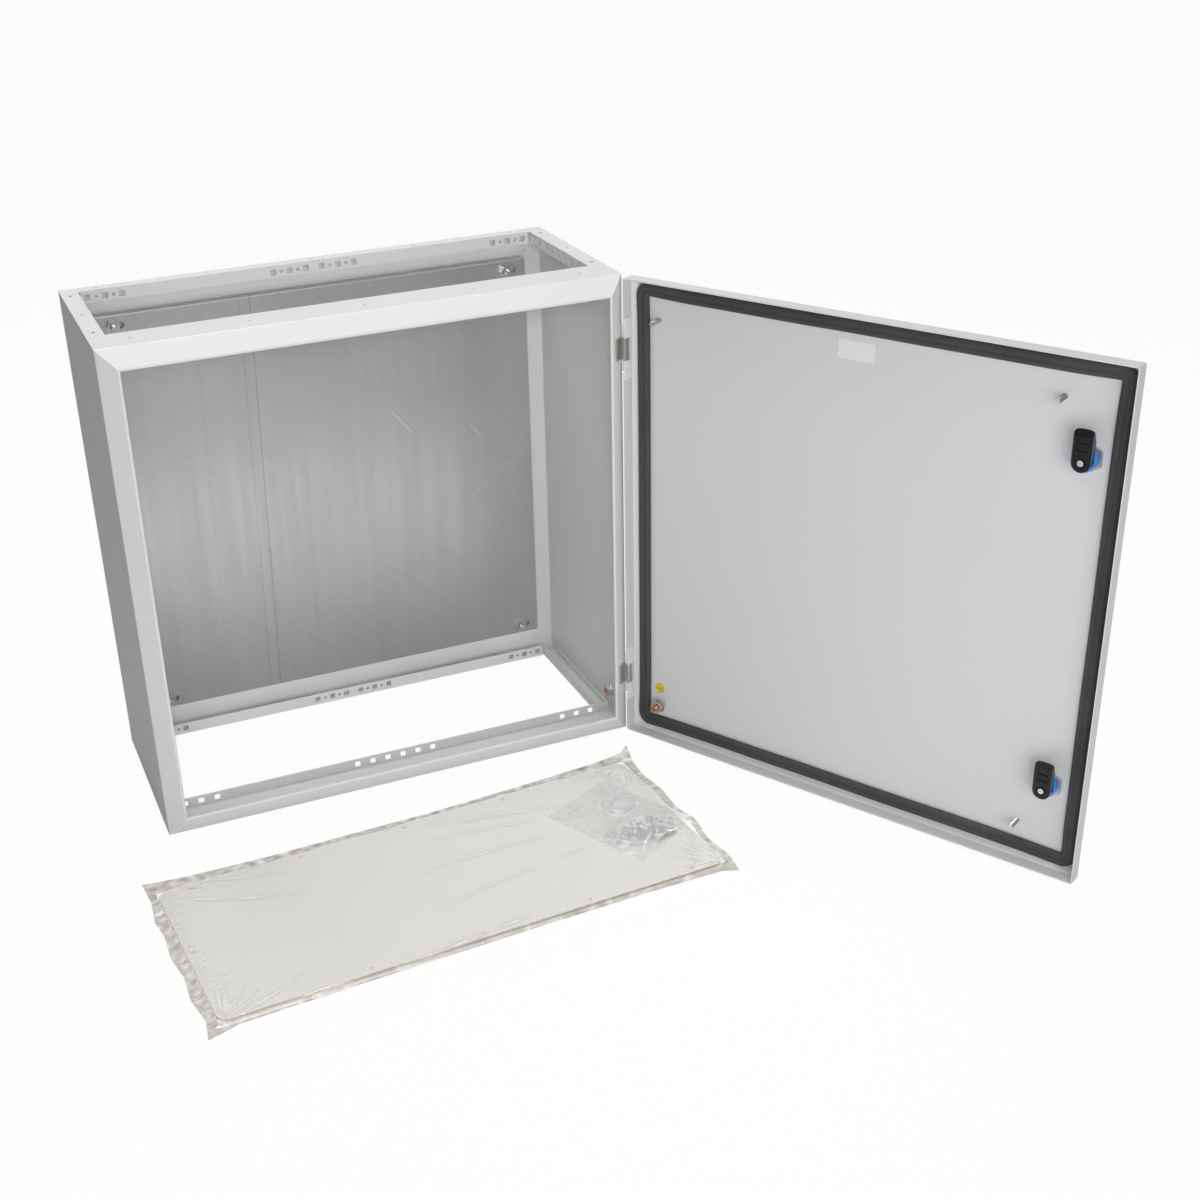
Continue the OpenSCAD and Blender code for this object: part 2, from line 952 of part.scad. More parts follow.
// waste beside the rounded outer fold of the plate, at its top or bottom
module plate_round(z, s) {
    r = 2.5;
    difference() {
        translate([0, plate_y - 1, z - (1 + s) / 2 * r + (s - 1) / 2])
            cube([body_w, r + 1, r + 1]);
        translate([-1, plate_y + r, z - s * r])
            rotate([0, 90, 0])
                cylinder(r = r, h = body_w + 2, $fn = 40);
    }
}

module mounting_plate() {
    px = (body_w - plate_w) / 2;
    pz = (body_h - plate_h) / 2 + plate_up;
    color([0.64, 0.65, 0.66])
        place()
            difference() {
                union() {
                    translate([px, plate_y, pz])
                        cube([plate_w, plate_t, plate_h]);
                    for (z = [pz, pz + plate_h - plate_t]) {
                        translate([px + 4, plate_y, z])
                            cube([plate_w - 8, plate_fold, plate_t]);
                    }
                }
                for (x = stud_x) {
                    for (z = stud_z) {
                        plate_slot(x + slot_shift, z);
                    }
                }
                plate_round(pz + plate_h, 1);
                plate_round(pz, -1);
            }
}

module mounting_studs() {
    color([0.70, 0.70, 0.71])
        place()
            for (x = stud_x) {
                for (z = stud_z) {
                    rod_y(x, rear_in, z, stud_r, rear_in - plate_y + stud_out - 1, 32);
                    translate([x, plate_y - stud_out + 1, z])
                        rotate([90, 0, 0])
                            cylinder(r1 = stud_r, r2 = stud_r - 1, h = 1, $fn = 32);
                }
            }
}

// sleeves that keep the plate off the rear wall
module plate_spacers() {
    color([0.60, 0.60, 0.61])
        place()
            for (x = stud_x) {
                for (z = stud_z) {
                    difference() {
                        rod_y(x, rear_in, z, 8, rear_in - plate_back, 32);
                        rod_y(x, rear_in + 1, z, stud_r + 0.05, rear_in - plate_back + 2, 32);
                    }
                }
            }
}

module plate_washers() {
    color([0.74, 0.74, 0.75])
        place()
            for (x = stud_x) {
                for (z = stud_z) {
                    difference() {
                        rod_y(x, plate_y, z, 8.7, washer_t, 40);
                        rod_y(x, plate_y + 1, z, stud_r + 0.2, washer_t + 2, 32);
                    }
                }
            }
}

module plate_nuts() {
    color([0.74, 0.74, 0.75])
        place()
            for (x = stud_x) {
                for (z = stud_z) {
                    translate([x, 0, z])
                        upright(plate_y - washer_t)
                            difference() {
                                intersection() {
                                    hex(plate_nut_af, plate_nut_t);
                                    cylinder(r1 = 8.2, r2 = 6.9, h = plate_nut_t, $fn = 36);
                                }
                                translate([0, 0, -1])
                                    cylinder(r = stud_r + 0.02, h = plate_nut_t + 2, $fn = 32);
                            }
                }
            }
}

// ---- earth point on the right wall ----

module wall_earth_stud() {
    color([0.76, 0.48, 0.34])
        place()
            translate([body_w - sheet_t, 43, 34])
                rotate([0, -90, 0])
                    cylinder(r = 4, h = 9, $fn = 32);
}

module wall_earth_nuts() {
    color([0.74, 0.74, 0.74])
        place()
            translate([body_w - sheet_t, 43, 34])
                rotate([0, -90, 0])
                    difference() {
                        union() {
                            cylinder(r = 8.3, h = 1.5, $fn = 36);
                            translate([0, 0, 1.5])
                                hex(13, 6);
                        }
                        translate([0, 0, -1])
                            cylinder(r = 4.02, h = 10, $fn = 32);
                    }
}

// ---- loose gland plates in front of the body ----

// lays a flat outline where the loose plates lie
module laid(z, h) {
    translate([gland_x, gland_y, z])
        rotate([0, 0, gland_turn])
            translate([0, -gland_d, 0])
                linear_extrude(height = h)
                    children();
}

module gland_outline() {
    difference() {
        round_rect(gland_w, gland_d, gland_r);
        for (y = [7.5, gland_d - 7.5]) {
            for (i = [-2:2]) {
                translate([gland_w / 2 + i * tap_pitch, y])
                    circle(r = 2.6, $fn = 16);
            }
        }
        for (x = [8, gland_w - 8]) {
            translate([x, gland_d / 2])
                circle(r = 2.6, $fn = 16);
        }
    }
}

module gland_plate_lower() {
    color([0.84, 0.84, 0.83])
        place()
            laid(0, gland_t)
                gland_outline();
}

module gland_seal() {
    color([0.82, 0.78, 0.70])
        place()
            laid(seal_z, seal_t)
                difference() {
                    translate([1, 1])
                        round_rect(gland_w - 2, gland_d - 2, gland_r - 1);
                    translate([16, 16])
                        round_rect(gland_w - 32, gland_d - 32, 4);
                }
}

module gland_plate_upper() {
    color([0.86, 0.86, 0.85])
        place()
            laid(upper_z, gland_t)
                gland_outline();
}

// ---- drawing ----

body_wrapper();
top_frame();
bottom_frame();
hinge_brackets();
hinge_pins();
door_knuckles();
door_panel();
door_gasket();
door_studs();
door_earth_stud();
door_earth_nuts();
earth_label();
rating_label();
lock_collars();
lock_barrels();
lock_nuts();
upper_lock_spindle();
upper_lock_cam();
upper_cam_screw();
lower_lock_spindle();
lower_lock_cam();
lower_cam_screw();
mounting_plate();
mounting_studs();
plate_spacers();
plate_washers();
plate_nuts();
wall_earth_stud();
wall_earth_nuts();
gland_plate_lower();
gland_seal();
gland_plate_upper();
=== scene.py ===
"""Steel wall enclosure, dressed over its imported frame.

The folded body, its door and the loose gland plates come from the frame and get
their finishes here. The foamed gasket, the threaded studs, the packing film of
the gland plates and the small pouch of screws are modelled on top of it.
"""

import json
import logging
import math
import random
from contextlib import contextmanager
from dataclasses import dataclass, field
from enum import Enum
from typing import Callable, Iterator, Sequence

import bmesh
import bpy
import numpy as np
from mathutils import Matrix, Vector, noise


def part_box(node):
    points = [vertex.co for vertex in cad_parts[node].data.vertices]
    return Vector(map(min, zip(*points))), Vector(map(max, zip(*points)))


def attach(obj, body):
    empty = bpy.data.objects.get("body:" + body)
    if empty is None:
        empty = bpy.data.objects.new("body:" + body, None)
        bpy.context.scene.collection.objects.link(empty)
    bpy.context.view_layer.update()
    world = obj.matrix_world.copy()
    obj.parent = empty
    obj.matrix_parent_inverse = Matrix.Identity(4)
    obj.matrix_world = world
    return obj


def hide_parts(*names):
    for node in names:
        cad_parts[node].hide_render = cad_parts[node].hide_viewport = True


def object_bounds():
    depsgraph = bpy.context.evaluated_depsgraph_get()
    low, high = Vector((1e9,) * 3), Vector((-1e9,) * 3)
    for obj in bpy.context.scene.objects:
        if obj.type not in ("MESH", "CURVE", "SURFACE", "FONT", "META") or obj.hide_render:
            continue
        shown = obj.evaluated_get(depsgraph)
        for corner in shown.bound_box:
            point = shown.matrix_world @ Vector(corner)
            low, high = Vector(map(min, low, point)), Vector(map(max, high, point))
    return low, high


LOG = logging.getLogger("wall_enclosure")
MM = 0.001
SHEET = 1.5 * MM  # the door's sheet
Colour = tuple[float, float, float]
Point = tuple[float, float]

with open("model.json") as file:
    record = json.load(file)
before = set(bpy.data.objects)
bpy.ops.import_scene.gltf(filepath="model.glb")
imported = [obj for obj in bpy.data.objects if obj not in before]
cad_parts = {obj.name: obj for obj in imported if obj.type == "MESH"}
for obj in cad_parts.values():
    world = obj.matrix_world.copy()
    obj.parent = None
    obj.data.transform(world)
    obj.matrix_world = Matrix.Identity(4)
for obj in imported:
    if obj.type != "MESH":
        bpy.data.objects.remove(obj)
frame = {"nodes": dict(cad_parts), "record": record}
cad_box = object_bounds()


class Body(Enum):
    """The moving bodies of the frame."""

    CASE = "body"
    DOOR = "door"
    GLAND_PACK = "gland_pack"


class Part(Enum):
    """The elements of a mesh that can be picked in edit mode."""

    VERTS = "VERT"
    EDGES = "EDGE"
    FACES = "FACE"


# ---------------------------------------------------------------- bench tools


def clear_selection() -> None:
    """Leaves edit mode and deselects every object."""
    if bpy.context.object and bpy.context.mode != "OBJECT":
        bpy.ops.object.mode_set(mode="OBJECT")
    bpy.ops.object.select_all(action="DESELECT")


def take(obj: bpy.types.Object) -> bpy.types.Object:
    """Makes one object the only one selected and the active one."""
    clear_selection()
    obj.select_set(True)
    bpy.context.view_layer.objects.active = obj
    return obj


@contextmanager
def editing(obj: bpy.types.Object) -> Iterator[None]:
    """Opens a piece in edit mode with nothing selected.

    Args:
        obj: The piece to edit.

    Yields:
        Nothing; the piece is back in object mode afterwards.
    """
    take(obj)
    bpy.ops.object.mode_set(mode="EDIT")
    bpy.ops.mesh.select_all(action="DESELECT")
    yield
    bpy.ops.object.mode_set(mode="OBJECT")


def pick(obj: bpy.types.Object, part: Part, test: Callable[..., bool]) -> int:
    """Selects the elements of a piece in edit mode that pass a test.

    Args:
        obj: The piece in edit mode.
        part: Which elements are looked at.
        test: Says of one element whether it is selected.

    Returns:
        How many were selected.
    """
    bpy.ops.mesh.select_all(action="DESELECT")
    bpy.ops.mesh.select_mode(type=part.value)
    mesh = bmesh.from_edit_mesh(obj.data)
    elements = {Part.VERTS: mesh.verts, Part.EDGES: mesh.edges, Part.FACES: mesh.faces}[part]
    chosen = [e for e in elements if test(e)]
    for element in chosen:
        element.select_set(True)
    mesh.select_flush_mode()
    bmesh.update_edit_mesh(obj.data)
    return len(chosen)


def bake_place(obj: bpy.types.Object) -> bpy.types.Object:
    """Moves a piece's place, turn and scale into its mesh."""
    take(obj)
    bpy.ops.object.transform_apply(location=True, rotation=True, scale=True)
    return obj


def seat(obj: bpy.types.Object, place: Matrix) -> bpy.types.Object:
    """Puts a piece that was modelled at the origin in its place.

    Args:
        obj: The piece, untransformed.
        place: The matrix from the piece's own axes to the row frame.

    Returns:
        The same piece, with its place in its mesh.
    """
    obj.matrix_world = place
    return bake_place(obj)


def twin(obj: bpy.types.Object) -> bpy.types.Object:
    """Copies a piece with a mesh of its own."""
    copy = obj.copy()
    copy.data = obj.data.copy()
    bpy.context.scene.collection.objects.link(copy)
    return copy


def weld(pieces: Sequence[bpy.types.Object], name: str) -> bpy.types.Object:
    """Joins pieces into the first of them and names the result.

    Args:
        pieces: The pieces, the first of which stays.
        name: The result's name.

    Returns:
        The joined piece.
    """
    clear_selection()
    for piece in pieces:
        piece.select_set(True)
    bpy.context.view_layer.objects.active = pieces[0]
    if len(pieces) > 1:
        bpy.ops.object.join()
    pieces[0].name = name
    pieces[0].data.name = name
    return pieces[0]


def soften(obj: bpy.types.Object, degrees: float) -> None:
    """Shades a piece smooth except at edges sharper than an angle."""
    take(obj)
    bpy.ops.object.shade_smooth_by_angle(angle=math.radians(degrees))


def face_outwards(obj: bpy.types.Object) -> None:
    """Recalculates the normals of a closed piece."""
    with editing(obj):
        bpy.ops.mesh.select_all(action="SELECT")
        bpy.ops.mesh.normals_make_consistent(inside=False)


def pointing(axis: Vector, spot: Vector) -> Matrix:
    """The place of a piece whose own Z lies along an axis and whose origin is at a spot."""
    return Matrix.Translation(spot) @ axis.to_track_quat("Z", "Y").to_matrix().to_4x4()


def node_points(node: str) -> np.ndarray:
    """The points of a node of the frame at rest, one row each."""
    mesh = frame["nodes"][node].data
    points = np.empty(len(mesh.vertices) * 3)
    mesh.vertices.foreach_get("co", points)
    return points.reshape(-1, 3)


def clumps(points: np.ndarray, reach: float) -> list[np.ndarray]:
    """Parts the points of a node into those of its separate solids.

    Args:
        points: One row for each point.
        reach: A distance that is wider than one solid and smaller than their pitch.

    Returns:
        The points of each solid, in the order in which they are met.
    """
    left, found = points, []
    while len(left):
        near = np.linalg.norm(left - left[0], axis=1) < reach
        found.append(left[near])
        left = left[~near]
    return found


def smooth(value: np.ndarray) -> np.ndarray:
    """Eases 0 to 1 without a kink, and holds the ends."""
    t = np.clip(value, 0.0, 1.0)
    return t * t * (3 - 2 * t)


# ------------------------------------------------------------ shader building


class Bench:
    """Adds and links the nodes of one shader tree."""

    def __init__(self, tree: bpy.types.NodeTree) -> None:
        """Starts an empty tree."""
        self.tree = tree
        tree.nodes.clear()

    def put(self, kind: str, inputs: dict | None = None, **settings: object) -> bpy.types.Node:
        """Adds one node.

        Args:
            kind: The node's type without its ShaderNode prefix.
            inputs: Values or sockets for its inputs, by name or number.
            settings: Properties of the node.

        Returns:
            The node.
        """
        node = self.tree.nodes.new("ShaderNode" + kind)
        for key, value in settings.items():
            setattr(node, key, value)
        for key, value in (inputs or {}).items():
            if isinstance(value, bpy.types.NodeSocket):
                self.tree.links.new(value, node.inputs[key])
            elif isinstance(value, tuple) and len(value) == 3 and node.inputs[key].type == "RGBA":
                node.inputs[key].default_value = (*value, 1.0)
            else:
                node.inputs[key].default_value = value
        return node

    def place(self) -> bpy.types.NodeSocket:
        """The object coordinates, in metres."""
        return self.put("TexCoord").outputs["Object"]

    def sum(self, how: str, a: object, b: object = 0.0) -> bpy.types.NodeSocket:
        """One arithmetic step on two values or sockets."""
        return self.put("Math", {0: a, 1: b}, operation=how).outputs[0]

    def offset(self, vector: object, spot: Sequence[float]) -> bpy.types.NodeSocket:
        """Coordinates measured from a spot."""
        return self.put("VectorMath", {0: vector, 1: tuple(spot)}, operation="SUBTRACT").outputs[0]

    def dot(self, vector: object, axis: Sequence[float]) -> bpy.types.NodeSocket:
        """How far coordinates lie along an axis."""
        return self.put("VectorMath", {0: vector, 1: tuple(axis)}, operation="DOT_PRODUCT").outputs["Value"]

    def length(self, vector: object) -> bpy.types.NodeSocket:
        """The length of a vector."""
        return self.put("VectorMath", {0: vector}, operation="LENGTH").outputs["Value"]

    def ramp(self, value: object, start: float, stop: float, low: object = 0.0, high: object = 1.0,
             ease: str = "LINEAR") -> bpy.types.NodeSocket:
        """Maps a value to another range and holds the ends.

        Args:
            value: The socket looked at.
            start: The value that gives the low end.
            stop: The value that gives the high end.
            low: The low end, a number or a socket.
            high: The high end, a number or a socket.
            ease: How it runs between the ends.

        Returns:
            The mapped value's socket.
        """
        inputs = {"Value": value, "From Min": start, "From Max": stop, "To Min": low, "To Max": high}
        return self.put("MapRange", inputs, interpolation_type=ease).outputs[0]

    def within(self, value: object, middle: float, half: float, soft: float) -> bpy.types.NodeSocket:
        """A mask that is 1 where a value lies near a middle one.

        Args:
            value: The socket looked at.
            middle: The value at which the mask is full.
            half: How far from it the mask ends.
            soft: The width over which it fades.

        Returns:
            The mask's socket.
        """
        off = self.sum("ABSOLUTE", self.sum("SUBTRACT", value, middle))
        return self.ramp(off, half + soft, half)

    def scratch(self, vector: object, start: Colour, stop: Colour, half: float) -> bpy.types.NodeSocket:
        """A mask that is 1 on a straight scratch and tapers at its ends.

        Args:
            vector: The coordinates looked at.
            start: One end of the scratch.
            stop: Its other end.
            half: Half its width.

        Returns:
            The mask's socket.
        """
        way = Vector(stop) - Vector(start)
        off = self.offset(vector, start)
        along = self.dot(off, way.normalized())
        held = self.sum("MINIMUM", self.sum("MAXIMUM", along, 0.0), way.length)
        aim = tuple(way.normalized())
        foot = self.put("VectorMath", {0: aim, "Scale": held}, operation="SCALE").outputs[0]
        gap = self.put("VectorMath", {0: off, 1: foot}, operation="DISTANCE").outputs["Value"]
        return self.ramp(gap, half * 1.8, half * 0.6)

    def blend(self, share: object, a: object, b: object) -> bpy.types.NodeSocket:
        """Mixes two colours by a share.

        Args:
            share: How much of the second colour.
            a: The first colour.
            b: The second colour.

        Returns:
            The mixed colour.
        """
        node = self.put("Mix", data_type="RGBA")
        for index, value in ((0, share), (6, a), (7, b)):
            if isinstance(value, bpy.types.NodeSocket):
                self.tree.links.new(value, node.inputs[index])
            elif index:
                node.inputs[index].default_value = (*value, 1.0)
            else:
                node.inputs[index].default_value = value
        return node.outputs[2]

    def speckle(self, vector: object, scale: float, detail: float = 2.0) -> bpy.types.NodeSocket:
        """Plain noise between 0 and 1."""
        return self.put("TexNoise", {"Vector": vector, "Scale": scale, "Detail": detail}).outputs[0]

    def spread(self, value: object, low: float, high: float) -> bpy.types.NodeSocket:
        """Maps the middle of a noise to a range."""
        return self.ramp(value, 0.3, 0.7, low, high)

    def stretched(self, vector: object, x: float, y: float, z: float) -> bpy.types.NodeSocket:
        """Scales coordinates along each axis."""
        return self.put("Mapping", {"Vector": vector, "Scale": (x, y, z)}).outputs[0]

    def call(self, group: bpy.types.NodeTree, inputs: dict) -> bpy.types.Node:
        """Places a node group with its own values.

        Args:
            group: The node group.
            inputs: Its inputs by name.

        Returns:
            The group node.
        """
        node = self.tree.nodes.new("ShaderNodeGroup")
        node.node_tree = group
        for key, value in inputs.items():
            if isinstance(value, bpy.types.NodeSocket):
                self.tree.links.new(value, node.inputs[key])
            else:
                node.inputs[key].default_value = value
        return node


def start_group(name: str, inputs: Sequence[tuple[str, str, float]], outputs: Sequence[str]) -> tuple:
    """Makes a shader node group with named sockets.

    Args:
        name: The group's name.
        inputs: Name, kind (Float or Vector) and default of each input.
        outputs: Names of the Float outputs.

    Returns:
        The group, its bench, its input node and its output node.
    """
    group = bpy.data.node_groups.new(name, "ShaderNodeTree")
    for label, kind, default in inputs:
        socket = group.interface.new_socket(label, in_out="INPUT", socket_type="NodeSocket" + kind)
        if kind == "Float":
            socket.default_value = default
    for label in outputs:
        group.interface.new_socket(label, in_out="OUTPUT", socket_type="NodeSocketFloat")
    bench = Bench(group)
    entry = group.nodes.new("NodeGroupInput")
    leave = group.nodes.new("NodeGroupOutput")
    return group, bench, entry, leave


def make_drift() -> bpy.types.NodeTree:
    """Slow change of tone over a surface, between two values.

    Returns:
        The node group.
    """
    group, bench, entry, leave = start_group(
        "slow_drift",
        [("Vector", "Vector", 0), ("Scale", "Float", 3.0), ("Low", "Float", 0.0), ("High", "Float", 1.0)],
        ["Value"],
    )
    cloud = bench.put("TexNoise", {"Vector": entry.outputs[0], "Scale": entry.outputs[1], "Detail": 3.0})
    spread = bench.ramp(cloud.outputs[0], 0.32, 0.68, entry.outputs[2], entry.outputs[3])
    group.links.new(spread, leave.inputs[0])
    return group


def make_peel() -> bpy.types.NodeTree:
    """Height of a coating's fine orange peel, coarse waves with grit on them.

    Returns:
        The node group.
    """
    group, bench, entry, leave = start_group(
        "coating_peel",
        [("Vector", "Vector", 0), ("Wave", "Float", 350.0), ("Grit", "Float", 2200.0),
         ("Share", "Float", 0.35)],
        ["Height"],
    )
    wave = bench.put("TexNoise", {"Vector": entry.outputs[0], "Scale": entry.outputs[1], "Detail": 1.0})
    grit = bench.put("TexNoise", {"Vector": entry.outputs[0], "Scale": entry.outputs[2], "Detail": 1.0})
    height = bench.sum("ADD", wave.outputs[0], bench.sum("MULTIPLY", grit.outputs[0], entry.outputs[3]))
    group.links.new(height, leave.inputs[0])
    return group


def make_hairlines() -> bpy.types.NodeTree:
    """Mask of sparse thin scuffs that run along the stretched axis of the coordinates.

    Returns:
        The node group.
    """
    group, bench, entry, leave = start_group(
        "hairlines",
        [("Vector", "Vector", 0), ("Scale", "Float", 40.0), ("Amount", "Float", 0.5)],
        ["Mask"],
    )
    cells = bench.put("TexNoise", {"Vector": entry.outputs[0], "Scale": entry.outputs[1], "Detail": 4.0})
    line = bench.ramp(cells.outputs[0], 0.57, 0.66)
    mask = bench.sum("MULTIPLY", line, entry.outputs[2])
    group.links.new(mask, leave.inputs[0])
    return group


@dataclass(frozen=True)
class Effects:
    """The shared shader groups."""

    drift: bpy.types.NodeTree
    peel: bpy.types.NodeTree
    hairlines: bpy.types.NodeTree


@dataclass(frozen=True)
class Finish:
    """One finish: a principled surface whose colour, gloss and relief come from nodes."""

    name: str
    colour: Colour
    roughness: float
    metallic: float = 0.0
    specular: float = 0.5
    change: float = 0.04
    change_scale: float = 6.0
    relief: float = 0.1
    wave: float = 350.0
    grit: float = 2200.0

    def shades(self) -> tuple[Colour, Colour]:
        """The darker and the lighter colour of the finish."""
        dark = tuple(c * (1 - self.change) for c in self.colour)
        light = tuple(min(c * (1 + self.change), 1.0) for c in self.colour)
        return dark, light

    def tint(self, bench: Bench, place: object, base: object, effects: Effects) -> object:
        """Lays marks of its own over the base colour; a plain finish has none."""
        return base

    def gloss(self, bench: Bench, place: object, base: object, effects: Effects) -> object:
        """Changes the roughness where the finish is marked; a plain finish keeps it."""
        return base

    def build(self, effects: Effects) -> bpy.types.Material:
        """Makes the material.

        Args:
            effects: The shared shader groups.

        Returns:
            The finished material.
        """
        material = bpy.data.materials.new(self.name)
        material.use_nodes = True
        bench = Bench(material.node_tree)
        place = bench.place()
        dark, light = self.shades()
        cloud = bench.call(effects.drift, {"Vector": place, "Scale": self.change_scale})
        colour = self.tint(bench, place, bench.blend(cloud.outputs[0], dark, light), effects)
        rough = bench.call(
            effects.drift,
            {"Vector": place, "Scale": self.change_scale * 2.3, "Low": self.roughness * 0.88,
             "High": min(self.roughness * 1.12, 1.0)},
        ).outputs[0]
        rough = self.gloss(bench, place, rough, effects)
        peel = bench.call(effects.peel, {"Vector": place, "Wave": self.wave, "Grit": self.grit})
        bump = bench.put("Bump", {"Strength": self.relief, "Distance": 0.0004, "Height": peel.outputs[0]})
        shader = bench.put(
            "BsdfPrincipled",
            {"Base Color": colour, "Roughness": rough, "Metallic": self.metallic,
             "Specular IOR Level": self.specular, "Normal": bump.outputs[0]},
        )
        self.extras(shader)
        out = bench.put("OutputMaterial", {"Surface": shader.outputs[0]})
        out.is_active_output = True
        return material

    def extras(self, shader: bpy.types.Node) -> None:
        """Sets what only some finishes need on the shader; a plain finish needs nothing."""


@dataclass(frozen=True)
class DoorPaint(Finish):
    """Powder coat of the door, with a greyer ring inside round each lock."""

    locks: tuple = ()
    axis: Vector = Vector((0, 1, 0))
    ring: float = 29.5 * MM
    edge: float = 0.6 * MM
    ring_colour: Colour = (0.60, 0.63, 0.70)
    ring_share: float = 0.45

    def tint(self, bench: Bench, place: object, base: object, effects: Effects) -> object:
        """Lays the two rings on the inner skin.

        Args:
            bench: The material's bench.
            place: The object coordinates.
            base: The tone so far.
            effects: The shared node groups.

        Returns:
            The tone with them.
        """
        mask = None
        for spot in self.locks:
            off = bench.offset(place, spot)
            cross = bench.put(
                "VectorMath", {0: off, 1: tuple(self.axis)}, operation="CROSS_PRODUCT"
            ).outputs[0]
            disc = bench.ramp(bench.length(cross), self.ring + self.edge, self.ring)
            inside = bench.sum("GREATER_THAN", bench.dot(off, self.axis), -self.edge)
            one = bench.sum("MULTIPLY", disc, inside)
            mask = one if mask is None else bench.sum("MAXIMUM", mask, one)
        if mask is None:
            return base
        return bench.blend(bench.sum("MULTIPLY", mask, self.ring_share), base, self.ring_colour)


@dataclass(frozen=True)
class GalvanisedSheet(Finish):
    """Galvanised plate with faint rolling streaks, upright lines and handling scratches."""

    # X, width and darkness of each upright line left by the mill
    lines: tuple = (
        (-0.102, 0.0007, 0.30), (-0.089, 0.0009, 0.45), (-0.157, 0.0006, 0.16),
        (-0.034, 0.0006, 0.10), (0.052, 0.0007, 0.10), (0.118, 0.0006, 0.08),
    )
    # X and Z of both ends of each bright scratch, and its brightness
    scratches: tuple = (
        (0.109, 0.062, 0.085, 0.093, 0.8),
        (0.202, 0.042, 0.190, 0.058, 0.7),
        (0.185, -0.043, 0.331, 0.061, 0.3),
    )
    face: float = 0.0

    def tint(self, bench: Bench, place: object, base: object, effects: Effects) -> object:
        """Lays streaks, spangle, lines and scratches on the metal.

        Args:
            bench: The material's bench.
            place: The object coordinates.
            base: The tone so far.
            effects: The shared node groups.

        Returns:
            The tone with them.
        """
        split = bench.put("SeparateXYZ", {0: place})
        across, up = split.outputs[0], split.outputs[2]
        streaks = bench.speckle(bench.stretched(place, 1.0, 1.0, 0.02), 90.0, 3.0)
        colour = bench.blend(bench.spread(streaks, 0.0, 0.35), base, (0.50, 0.50, 0.50))
        cells = bench.put("TexVoronoi", {"Vector": place, "Scale": 210.0}, feature="F1")
        flake = bench.put("SeparateColor", {0: cells.outputs["Color"]}).outputs[0]
        colour = bench.blend(bench.sum("MULTIPLY", flake, 0.10), colour, (0.60, 0.61, 0.62))
        lean = bench.sum("ADD", across, bench.sum("MULTIPLY", up, -0.03))
        for middle, width, depth in self.lines:
            rough_line = bench.sum("ADD", lean, bench.sum("MULTIPLY", bench.speckle(place, 14.0), 0.0012))
            line = bench.within(rough_line, middle, width * 0.4, width)
            grain = bench.spread(bench.speckle(place, 260.0), 0.4, 1.0)
            colour = bench.blend(
                bench.sum("MULTIPLY", bench.sum("MULTIPLY", line, grain), depth), colour, (0.16, 0.16, 0.16)
            )
        turned = bench.put(
            "VectorRotate", {"Vector": place, "Angle": math.radians(-44)}, rotation_type="Y_AXIS"
        )
        scuffs = bench.call(
            effects.hairlines,
            {"Vector": bench.stretched(turned.outputs[0], 0.03, 0.0, 1.0), "Scale": 120.0, "Amount": 0.05},
        )
        colour = bench.blend(scuffs.outputs[0], colour, (0.26, 0.26, 0.27))
        for x0, z0, x1, z1, depth in self.scratches:
            mask = bench.scratch(place, (x0, self.face, z0), (x1, self.face, z1), 0.5 * MM)
            colour = bench.blend(bench.sum("MULTIPLY", mask, depth), colour, (0.85, 0.85, 0.85))
        return colour

    def gloss(self, bench: Bench, place: object, base: object, effects: Effects) -> object:
        """Streaks are a little duller than the sheet between them."""
        streaks = bench.speckle(bench.stretched(place, 1.0, 1.0, 0.03), 60.0, 3.0)
        return bench.sum("ADD", base, bench.spread(streaks, -0.03, 0.05))


@dataclass(frozen=True)
class PlatedMetal(Finish):
    """Zinc or copper plating with a faint change of hue."""

    hue: Colour = (0.70, 0.68, 0.60)

    def tint(self, bench: Bench, place: object, base: object, effects: Effects) -> object:
        """Lays the second hue of the passivation over the metal in patches."""
        patch = bench.spread(bench.speckle(place, 320.0), 0.0, 0.5)
        return bench.blend(patch, base, self.hue)


@dataclass(frozen=True)
class MouldedPlastic(Finish):
    """Moulded plastic with a thin clear gloss."""

    coat: float = 0.3

    def extras(self, shader: bpy.types.Node) -> None:
        """Adds the gloss layer."""
        shader.inputs["Coat Weight"].default_value = self.coat
        shader.inputs["Coat Roughness"].default_value = 0.12


@dataclass(frozen=True)
class EarthLabel(Finish):
    """Yellow round film with a dark rim and the common earth sign."""

    spot: Vector = Vector((0, 0, 0))
    along: Vector = Vector((1, 0, 0))
    radius: float = 6.5 * MM
    soft: float = 0.12 * MM
    # level, half width and half height of the stem and the three bars, in millimetres
    strokes: tuple = ((1.6, 0.3, 1.6), (0.0, 2.6, 0.28), (-1.1, 1.7, 0.28), (-2.2, 0.8, 0.28))

    def tint(self, bench: Bench, place: object, base: object, effects: Effects) -> object:
        """Prints the rim, the stem and the three bars.

        Args:
            bench: The material's bench.
            place: The object coordinates.
            base: The tone so far.
            effects: The shared node groups.

        Returns:
            The tone with them.
        """
        off = bench.offset(place, self.spot)
        side, high = bench.dot(off, self.along), bench.put("SeparateXYZ", {0: off}).outputs[2]
        ink = bench.within(bench.length(off), self.radius * 0.84, 0.25 * MM, self.soft)
        for level, half_w, half_h in self.strokes:
            across = bench.within(side, 0, half_w * MM, self.soft)
            stroke = bench.sum("MULTIPLY", across, bench.within(high, level * MM, half_h * MM, self.soft))
            ink = bench.sum("MAXIMUM", ink, stroke)
        return bench.blend(bench.sum("MULTIPLY", ink, 0.85), base, (0.05, 0.045, 0.02))


